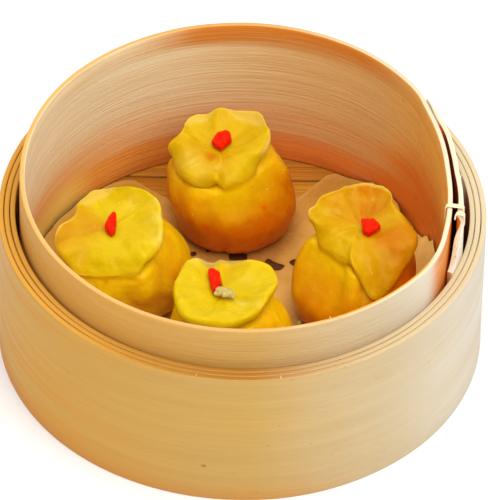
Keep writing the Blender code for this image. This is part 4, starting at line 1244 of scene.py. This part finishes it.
class Meridian:
    """One dumpling's skin from the middle of its foot to the middle of its cup, at one angle.

    It holds knots: a point in mm, how thin the skin is there, and how much filling shows.
    """

    def __init__(self, spec, turn):
        self.spec, self.turn = spec, turn
        self.angle = math.degrees(turn) % 360.0
        self.direction = Vector((math.cos(turn), math.sin(turn)))
        self.foot, self.collar = Vector(spec["foot"]), Vector(spec["collar"])
        self.rolled = plateau(self.angle, spec["rolled"])
        self.joined = plateau(self.angle, spec["joined"])
        self.reach = lip_reach(spec, self.angle)
        self.reach += LIP_UNEVEN * round_noise(self.angle, 7.0, spec["phase"])
        self.warm = spec["warm"][0] + humps(self.angle, spec["warm"][1])
        lip = self.lip_knots()
        sunk = max(0.0, STAND_MM + NECK_H + JOIN_STEP - lip[0][0].z)
        self.knots = [(Vector((*self.foot, STAND_MM)), 0.0, self.warm),
                      *self.body_knots(sunk), *lip,
                      (Vector((*self.collar, STAND_MM + CUP_H)), 1.0, spec["tint"][0])]

    def body_knots(self, sunk):
        """The body's rings; under a joined lip they swell to meet it, sunk mm lower."""
        spec, angle, phase = self.spec, self.angle, self.spec["phase"]
        flowing = plateau(angle, spec["joined"], spread=1.5, level=0.7)
        broad, shoulder = humps(angle, [spec["broad"]]), humps(angle, [spec["shoulder"]])
        knots = []
        for radius, height in BODY_RINGS:
            rise = smoothstep(12.0, NECK_H, height)
            pleat = PLEAT_DEPTH * math.cos(PLEAT_COUNT * self.turn + phase)
            pleat *= 1.0 - 0.9 * self.joined
            pleat += NECK_UNEVEN * round_noise(angle, 4.0, phase + 4.0)
            belly = BELLY_UNEVEN * math.cos(3 * self.turn + 2.0 * phase)
            belly *= smoothstep(0.0, 3.0, height)
            radius += broad * smoothstep(24.0, NECK_H, height)
            radius += shoulder * smoothstep(17.0, 30.0, height)
            radius *= 1.0 + rise * pleat + belly
            for middle, half, depth, low, high in spec["creases"]:
                window = (smoothstep(low - 3.0, low + 2.0, height)
                          * smoothstep(high + 3.0, high - 2.0, height))
                radius -= depth * window * bump(angle, middle, half)**2
            flat = self.foot.lerp(self.collar, rise * 0.75) + self.direction * radius
            meeting = flowing * smoothstep(8.0, NECK_H, height)
            flare = 1.04 + NECK_FLARE * spec["flare"] * (NECK_H - height)
            flat = flat.lerp(self.collar + self.direction * self.reach * flare, meeting * 0.95)
            orange = self.warm * (smoothstep(35.0, 20.0, height) * (1.0 - 0.4 * meeting)
                                  + 0.3 * smoothstep(15.0, 4.0, height))
            place = Vector((*flat, STAND_MM + height - sunk * meeting))
            knots.append((place, 0.25 * meeting, orange))
        return knots

    def lip_knots(self):
        """The collar's rings: each between its thin, its rolled and its joined shape."""
        spec, angle = self.spec, self.angle
        drape, petal = humps(angle, spec["drape"]), petal_drop(spec, angle)
        tint = spec["tint"][0] + humps(angle, spec["tint"][1])
        mean = sum(spec["lip"]) / len(spec["lip"])
        hang = (LIP_CREST - ROLLED_LIP[2][1] - HANG_SPARE) * self.rolled * (1.0 - self.joined)
        hang += drape
        wave = (RIM_WAVES * math.sin(5 * self.turn + spec["phase"])
                + RIM_UNEVEN * round_noise(angle, 4.0, 11.0))
        knots = []
        for upright, roll, join, outline, thin in zip(THIN_LIP, ROLLED_LIP, JOINED_LIP,
                                                      OUTLINE_SHARE, THIN_SHARE):
            share, over = Vector(upright).lerp(Vector(roll), self.rolled).lerp(Vector(join),
                                                                               self.joined)
            own = outline + (1.0 - outline) * self.joined * smoothstep(0.5, 0.8, share)
            flat = self.direction * share * (own * self.reach + (1.0 - own) * mean)
            outer = smoothstep(0.45, 1.0, share)
            flat.y += hang * outer * VIEW_SLOPE * max(0.0, -self.direction.y)
            flat.y -= PETAL_OUT * petal * outer
            lean = outline * (spec["lean"][0] * flat.x + spec["lean"][1] * flat.y)
            height = NECK_H + over + lean + wave * outline * (1.0 - 0.6 * self.joined)
            height -= (drape + petal) * outer
            knots.append((Vector((*(self.collar + flat), STAND_MM + height)), thin,
                          tint + 0.10 * self.warm * (1.0 - outline)))
        return knots

    def skin_at(self, ring):
        """The skin at a place between two knots, on a Catmull-Rom curve through all of them."""
        knots = self.knots
        index = min(int(ring), len(knots) - 2)
        t = ring - index
        first, second = knots[index], knots[index + 1]
        parts = (knots[max(index - 1, 0)], first, second, knots[min(index + 2, len(knots) - 1)])
        weights = (-0.5 * t + t**2 - 0.5 * t**3, 1.0 - 2.5 * t**2 + 1.5 * t**3,
                   0.5 * t + 2.0 * t**2 - 1.5 * t**3, -0.5 * t**2 + 0.5 * t**3)
        point = sum((knot[0] * weight for knot, weight in zip(parts, weights)), Vector((0, 0, 0)))
        return point, *(first[i] + (second[i] - first[i]) * t for i in (1, 2))


class STEAMER_OT_dumplings(bpy.types.Operator):
    """Make the four dumplings: lumpy body, pleated neck, and open collar with rolled lips"""
    bl_idname = "steamer.dumplings"
    bl_label = "Dumplings"

    LAYERS = ("thin", "filling", "painted_sheen", "fleck", "pale")

    def execute(self, context):
        looks = context.scene.dumpling_looks
        material = shared(dumpling_skin, looks)
        for name, spec in DUMPLINGS.items():
            bm = self.skin_mesh(spec, looks)
            finish_piece(bm, f"crystal_dumpling_{name}", material, [f"dumpling_{name}"])
        return {"FINISHED"}

    def skin_mesh(self, spec, looks):
        """A sphere's mesh, each of its points moved to its place on the skin."""
        rows = (len(BODY_RINGS) + len(THIN_LIP) + 1) * looks.levels
        bm = bmesh.new()
        bmesh.ops.create_uvsphere(bm, u_segments=MERIDIANS, v_segments=rows, radius=1.0)
        layers = [bm.verts.layers.float.new(name) for name in self.LAYERS]
        skin = bm.verts.layers.float_vector.new("skin")
        meridians = {}
        for vert in bm.verts:
            row = round(math.acos(-min(1.0, max(-1.0, vert.co.z))) / math.pi * rows)
            turn = math.atan2(vert.co.y, vert.co.x)
            key = round(turn, 4)
            if key not in meridians:
                meridians[key] = Meridian(spec, turn)
            ring = row / looks.levels
            point, thin, filling = meridians[key].skin_at(ring)
            point, pale = self.shaped(spec, point, turn, ring, looks)
            in_collar = smoothstep(10.0, COLLAR_RING, ring)
            shares = (thin, max(0.0, filling, in_collar * spot_share(spec["blush"], point)),
                      in_collar * spot_share(spec["painted_sheen"], point),
                      self.fleck_share(spec, point, turn, ring), pale)
            for layer, share in zip(layers, shares):
                vert[layer] = share
            vert[skin] = Vector((math.cos(turn), math.sin(turn), row / rows))
            vert.co = point * MM
        for _ in range(2):
            bmesh.ops.smooth_vert(bm, verts=bm.verts, factor=0.4, use_axis_x=True,
                                  use_axis_y=True, use_axis_z=True)
        return bm

    def shaped(self, spec, point, turn, ring, looks):
        """Add lumps to the body, folds to the cup and the pale fringe to the lip."""
        angle = math.degrees(turn) % 360.0
        own = Vector((spec["phase"], 0.0, 0.0))
        (begins, ends), (large, small) = LUMPY_RINGS, LUMP_SIZES
        body = smoothstep(*begins, ring) * smoothstep(*ends, ring)
        lump = noise.noise(point / large + own) + 0.4 * noise.noise(point / small)
        outwards = Vector((math.cos(turn), math.sin(turn), 0.0))
        point = point + outwards * body * lump * looks.lumps / MM
        reach = lip_reach(spec, angle)
        share = (point.xy - Vector(spec["collar"])).length / reach
        rise = 0.0
        for middle, half, height, inner, outer in spec["folds"]:
            window = (smoothstep(inner - 0.2, inner + 0.1, share)
                      * smoothstep(outer + 0.2, outer - 0.1, share))
            rise += looks.folds / MM * height * window * bump(angle, middle, half)
        large, small = DENT_SIZES
        rise += smoothstep(0.15, 0.5, share) * noise.noise(point / large + own.zyx)
        rise += 0.15 * noise.noise(point / small + own)
        fringe = curve_value(spec["fringe"], angle, 360.0)
        pale = 0.0
        if fringe > 0.05 and ring > COLLAR_RING:
            from_edge = (1.0 - share) * reach
            pale = smoothstep(1.1 * fringe, 0.6 * fringe, from_edge) * min(1.0, fringe / 1.2)
            rise -= FRINGE_STEP * pale * min(1.0, fringe / 2.5)
        return point + Vector((0.0, 0.0, rise * smoothstep(9.5, COLLAR_RING, ring))), pale

    def fleck_share(self, spec, point, turn, ring):
        """How much of a red fleck shows at a point of the body."""
        if ring > LAST_FLECK_RING:
            return 0.0
        share = 0.0
        for fleck_angle, height, size, amount in spec["flecks"]:
            away = abs((math.degrees(turn) - fleck_angle + 180.0) % 360.0 - 180.0)
            distance = math.hypot(math.radians(away) * BODY_R, point.z - STAND_MM - height)
            share = max(share, amount * math.exp(-(distance / size)**2))
        return share


class STEAMER_OT_red_pieces(bpy.types.Operator):
    """Make the cut pieces of red vegetable in the collars"""
    bl_idname = "steamer.red_pieces"
    bl_label = "Red pieces"

    DOME = 0.30 * MM            # how far the middle of the upper face stands up
    DOME_INSET = 1.0 * MM
    ROUNDING = 0.30 * MM
    UNEVEN = 0.2 * MM

    def execute(self, context):
        material = shared(red_vegetable)
        for name, outline in RED_PIECES.items():
            bm = self.cut_piece(outline)
            low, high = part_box(f"red_piece_{name}")
            bmesh.ops.translate(bm, verts=bm.verts, vec=(low + high) / 2.0)
            finish_piece(bm, f"cut_red_piece_{name}", material, [f"red_piece_{name}"])
        return {"FINISHED"}

    def cut_piece(self, outline):
        """A slab with the outline, rounded at its cuts and a little domed."""
        bm = bmesh.new()
        face = bm.faces.new([bm.verts.new((x * MM, y * MM, -0.5 * RED_T * MM)) for x, y in outline])
        raised_copy(bm, [face], RED_T * MM)
        bmesh.ops.recalc_face_normals(bm, faces=bm.faces)
        top = [face for face in bm.faces if face.normal.z > 0.9]
        bmesh.ops.inset_region(bm, faces=top, thickness=self.DOME_INSET, depth=self.DOME)
        round_edges(bm, corner_edges(bm, 25.0), self.ROUNDING, 3)
        edge = bm.verts.layers.float.new("edge")
        for vert in bm.verts:
            vert[edge] = smoothstep(0.7, 1.0, vert.calc_shell_factor() - 0.3)
            vert.co += vert.co.normalized() * noise.noise(vert.co * 700.0) * self.UNEVEN
            vert.co.z += RED_SLOPE * vert.co.y
        return bm


def add_lump(bm, centre, radius, flatness, seed):
    """A small uneven lump."""
    made = bmesh.ops.create_icosphere(bm, subdivisions=3, radius=radius)
    for vert in made["verts"]:
        bumpy = 1.0 + LUMP_UNEVEN * noise.noise(vert.co / radius * 1.3 + Vector((seed, 0.0, 0.0)))
        bumpy += LUMP_GRAIN * noise.noise(vert.co / radius * 4.0 + Vector((0.0, seed, 0.0)))
        vert.co *= bumpy
        vert.co.z *= flatness
        vert.co += centre


class STEAMER_OT_crumbs(bpy.types.Operator):
    """Make the cream crumb in the front collar and the loose crumbs on the liner"""
    bl_idname = "steamer.crumbs"
    bl_label = "Crumbs"

    LIES_AT = LINER_FOOT + LINER_T + 0.35 * MM      # top of the wrinkled liner

    def execute(self, context):
        material = shared(cream_meat)
        low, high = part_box("cream_crumb")
        bm = bmesh.new()
        for seed, (x, y, z, radius) in enumerate(CREAM_LUMPS):
            add_lump(bm, (low + high) / 2.0 + Vector((x, y, z)) * MM, radius * MM, 0.8, seed + 1.0)
        finish_piece(bm, "cream_crumb_lumps", material, ["cream_crumb"])
        bm = bmesh.new()
        for seed, (x, y, size) in enumerate(LOOSE_CRUMBS):
            centre = Vector((x * MM, y * MM, self.LIES_AT + 0.28 * size * MM))
            add_lump(bm, centre, 0.5 * size * MM, 0.65, 5.0 + seed)
        finish_piece(bm, "loose_crumbs", material)
        return {"FINISHED"}


def tie_path(angle, start_z, end_z, round_hoop):
    """Radius and height of a tie's middle line, from inside, over the rim, to outside."""
    half = 0.5 * TIE_T + TIE_CLEAR
    outer = curve_value(LAP_OUTER, angle) + half
    if round_hoop:
        inner = hoop_inner_radius(angle) - half
    else:
        inner = outer - 2.0 * half - LAP_T
    over = RIM_Z + half
    return ((inner, start_z), (inner, 0.5 * (start_z + over)), (inner, over - TIE_BEND),
            (inner + 0.3 * TIE_BEND, over - 0.3 * TIE_BEND), (inner + TIE_BEND, over),
            (outer - TIE_BEND, over), (outer - 0.3 * TIE_BEND, over - 0.3 * TIE_BEND),
            (outer, over - TIE_BEND), (outer, 0.5 * (over + end_z)), (outer, end_z))


class STEAMER_OT_cane_ties(bpy.types.Operator):
    """Make the split cane that ties the lap to the hoop"""
    bl_idname = "steamer.cane_ties"
    bl_label = "Cane ties"

    def execute(self, context):
        material = shared(cane)
        for index, (angle, *ends) in enumerate(TIES, start=1):
            path = [Vector(point) for point in tie_path(angle, *ends)]
            turn = Matrix.Rotation(math.radians(angle), 3, "Z")
            bm = bmesh.new()
            lofted(bm, [self.section(bm, path, step, turn) for step in range(len(path))])
            finish_piece(bm, f"cane_strand_{index}", material, [f"cane_tie_{index}"])
        return {"FINISHED"}

    def section(self, bm, path, step, turn):
        """A flat oval across the path at one of its points."""
        along = (path[min(step + 1, len(path) - 1)] - path[max(step - 1, 0)]).normalized()
        side = Vector((-along.y, along.x)) * 0.5 * TIE_T
        slant = TIE_SLANT * (step / (len(path) - 1) - 0.5)
        oval = []
        for part in range(TIE_SIDES):
            swing = 2.0 * math.pi * part / TIE_SIDES
            radius, height = path[step] + side * math.sin(swing) * (1.0 + 0.3 * math.cos(2 * swing))
            across = 0.5 * TIE_W * math.cos(swing) + slant
            oval.append(bm.verts.new(turn @ Vector((radius, across, height))))
        return oval


class STEAMER_OT_splinters(bpy.types.Operator):
    """Make the frayed fibres along the cut edges of the strips"""
    bl_idname = "steamer.splinters"
    bl_label = "Splinters"

    ROOT_R, TIP_R = 0.28 * MM, 0.05 * MM
    SUNK = 0.4 * MM             # how deep a fibre's root is in the strip
    INTO_EDGE = 0.3 * MM        # how far it starts below the cut edge

    def execute(self, context):
        bm = bmesh.new()
        for angle, radius, height, length, lean, twist in SPLINTERS:
            length *= MM
            fibre = bmesh.ops.create_cone(bm, cap_ends=True, segments=6, radius1=self.ROOT_R,
                                          radius2=self.TIP_R, depth=length)["verts"]
            bmesh.ops.translate(bm, verts=fibre, vec=(0.0, 0.0, 0.5 * length - self.SUNK))
            for vert in fibre:
                bend = length * max(0.0, vert.co.z / length)**2
                vert.co.x += lean * bend
                vert.co.z -= abs(lean) * 0.6 * bend
            place = (Matrix.Rotation(math.radians(angle), 4, "Z")
                     @ Matrix.Translation((radius * MM, 0.0, height * MM - self.INTO_EDGE))
                     @ Matrix.Rotation(math.radians(twist), 4, "Z"))
            bmesh.ops.transform(bm, matrix=place, verts=fibre)
        finish_piece(bm, "splinters", shared(cane))
        return {"FINISHED"}


class STEAMER_OT_stage(bpy.types.Operator):
    """Set the plain floor, the soft light and the camera at the photograph's angle"""
    bl_idname = "steamer.stage"
    bl_label = "Stage"

    IMAGE_W, IMAGE_H = 488, 500
    FOCAL_PX = 8000.0           # the photograph is close to a parallel view
    PX_PER_MM = 2.701
    ELEVATION = 43.452          # degrees
    ROLL = 1.41
    AIM_PX = (241.531, 251.8)   # where the point AIM_Z above the origin shows
    AIM_Z = 40.0 * MM
    SENSOR_W = 36.0             # mm
    VIEW_END = 20.0
    LIGHTS = (("key_light", (0.20, -0.42, 0.90), 0.8), ("top_light", (-0.12, 0.25, 1.0), 0.9))
    FLOOR_SIZE = 3.0

    def execute(self, context):
        scene, looks = context.scene, context.scene.stage_looks
        self.add_camera(scene)
        self.add_floor(scene, looks)
        for (name, place, size), watts in zip(self.LIGHTS, (looks.key, looks.top)):
            self.add_light(scene, name, watts, place, size)
        world = bpy.data.worlds.new("white_surround")
        world.use_nodes = True
        background = world.node_tree.nodes["Background"]
        background.inputs["Color"].default_value = (1.0, 1.0, 1.0, 1.0)
        background.inputs["Strength"].default_value = looks.sky
        scene.world = world
        scene.view_settings.view_transform = "Standard"
        return {"FINISHED"}

    def add_camera(self, scene):
        elevation, roll = math.radians(self.ELEVATION), math.radians(self.ROLL)
        back = Vector((0.0, -math.cos(elevation), math.sin(elevation)))
        level_right = Vector((1.0, 0.0, 0.0))
        level_up = back.cross(level_right)
        right = level_right * math.cos(roll) + level_up * math.sin(roll)
        up = level_up * math.cos(roll) - level_right * math.sin(roll)
        metre_per_px = MM / self.PX_PER_MM
        place = Vector((0.0, 0.0, self.AIM_Z)) + back * self.FOCAL_PX * metre_per_px
        place -= right * (self.AIM_PX[0] - self.IMAGE_W / 2) * metre_per_px
        place += up * (self.AIM_PX[1] - self.IMAGE_H / 2) * metre_per_px
        data = bpy.data.cameras.new("camera")
        data.sensor_width = self.SENSOR_W
        data.lens = self.FOCAL_PX * data.sensor_width / self.IMAGE_H
        data.clip_end = self.VIEW_END
        camera = bpy.data.objects.new("camera", data)
        turned = Matrix((right, up, back)).transposed().to_4x4()
        camera.matrix_world = Matrix.Translation(place) @ turned
        scene.collection.objects.link(camera)
        scene.camera = camera

    def add_floor(self, scene, looks):
        bm = bmesh.new()
        bmesh.ops.create_grid(bm, x_segments=4, y_segments=4, size=self.FLOOR_SIZE)
        mesh = bpy.data.meshes.new("floor")
        bm.to_mesh(mesh)
        bm.free()
        mesh.materials.append(shared(plain_floor, looks))
        floor = bpy.data.objects.new("floor", mesh)
        scene.collection.objects.link(floor)

    def add_light(self, scene, name, watts, place, size):
        data = bpy.data.lights.new(name, "AREA")
        data.energy = watts
        data.size = size
        light = bpy.data.objects.new(name, data)
        light.location = place
        aim = Vector((0.0, 0.0, self.AIM_Z)) - Vector(place)
        light.rotation_euler = aim.to_track_quat("-Z", "Y").to_euler()
        scene.collection.objects.link(light)


class STEAMER_PT_pieces(bpy.types.Panel):
    """Lists the pieces of the basket"""
    bl_idname = "STEAMER_PT_pieces"
    bl_label = "Dumpling basket"
    bl_space_type = "VIEW_3D"
    bl_region_type = "UI"
    bl_category = "Basket"

    def draw(self, context):
        for looks in ("bamboo_looks", "liner_looks", "dumpling_looks", "stage_looks"):
            group = getattr(context.scene, looks)
            for name in group.bl_rna.properties.keys():
                if name not in {"rna_type", "name"}:
                    self.layout.prop(group, name)
        for operator in OPERATORS:
            self.layout.operator(operator.bl_idname)


LOOKS = {
    "bamboo_looks": BambooLooks,
    "liner_looks": LinerLooks,
    "dumpling_looks": DumplingLooks,
    "stage_looks": StageLooks,
}
OPERATORS = (
    STEAMER_OT_bands, STEAMER_OT_hoop, STEAMER_OT_lap, STEAMER_OT_slats, STEAMER_OT_liner,
    STEAMER_OT_dumplings, STEAMER_OT_red_pieces, STEAMER_OT_crumbs, STEAMER_OT_cane_ties,
    STEAMER_OT_splinters, STEAMER_OT_stage,
)


def register():
    for name, group in LOOKS.items():
        bpy.utils.register_class(group)
        setattr(bpy.types.Scene, name, PointerProperty(type=group))
    for operator in OPERATORS:
        bpy.utils.register_class(operator)
    bpy.utils.register_class(STEAMER_PT_pieces)


def unregister():
    bpy.utils.unregister_class(STEAMER_PT_pieces)
    for operator in reversed(OPERATORS):
        bpy.utils.unregister_class(operator)
    for name, group in reversed(LOOKS.items()):
        delattr(bpy.types.Scene, name)
        bpy.utils.unregister_class(group)


def main():
    register()
    bpy.ops.steamer.bands()
    bpy.ops.steamer.hoop()
    bpy.ops.steamer.lap()
    bpy.ops.steamer.slats()
    bpy.ops.steamer.liner()
    bpy.ops.steamer.dumplings()
    bpy.ops.steamer.red_pieces()
    bpy.ops.steamer.crumbs()
    bpy.ops.steamer.cane_ties()
    bpy.ops.steamer.splinters()
    bpy.ops.steamer.stage()


if __name__ == "__main__":
    main()
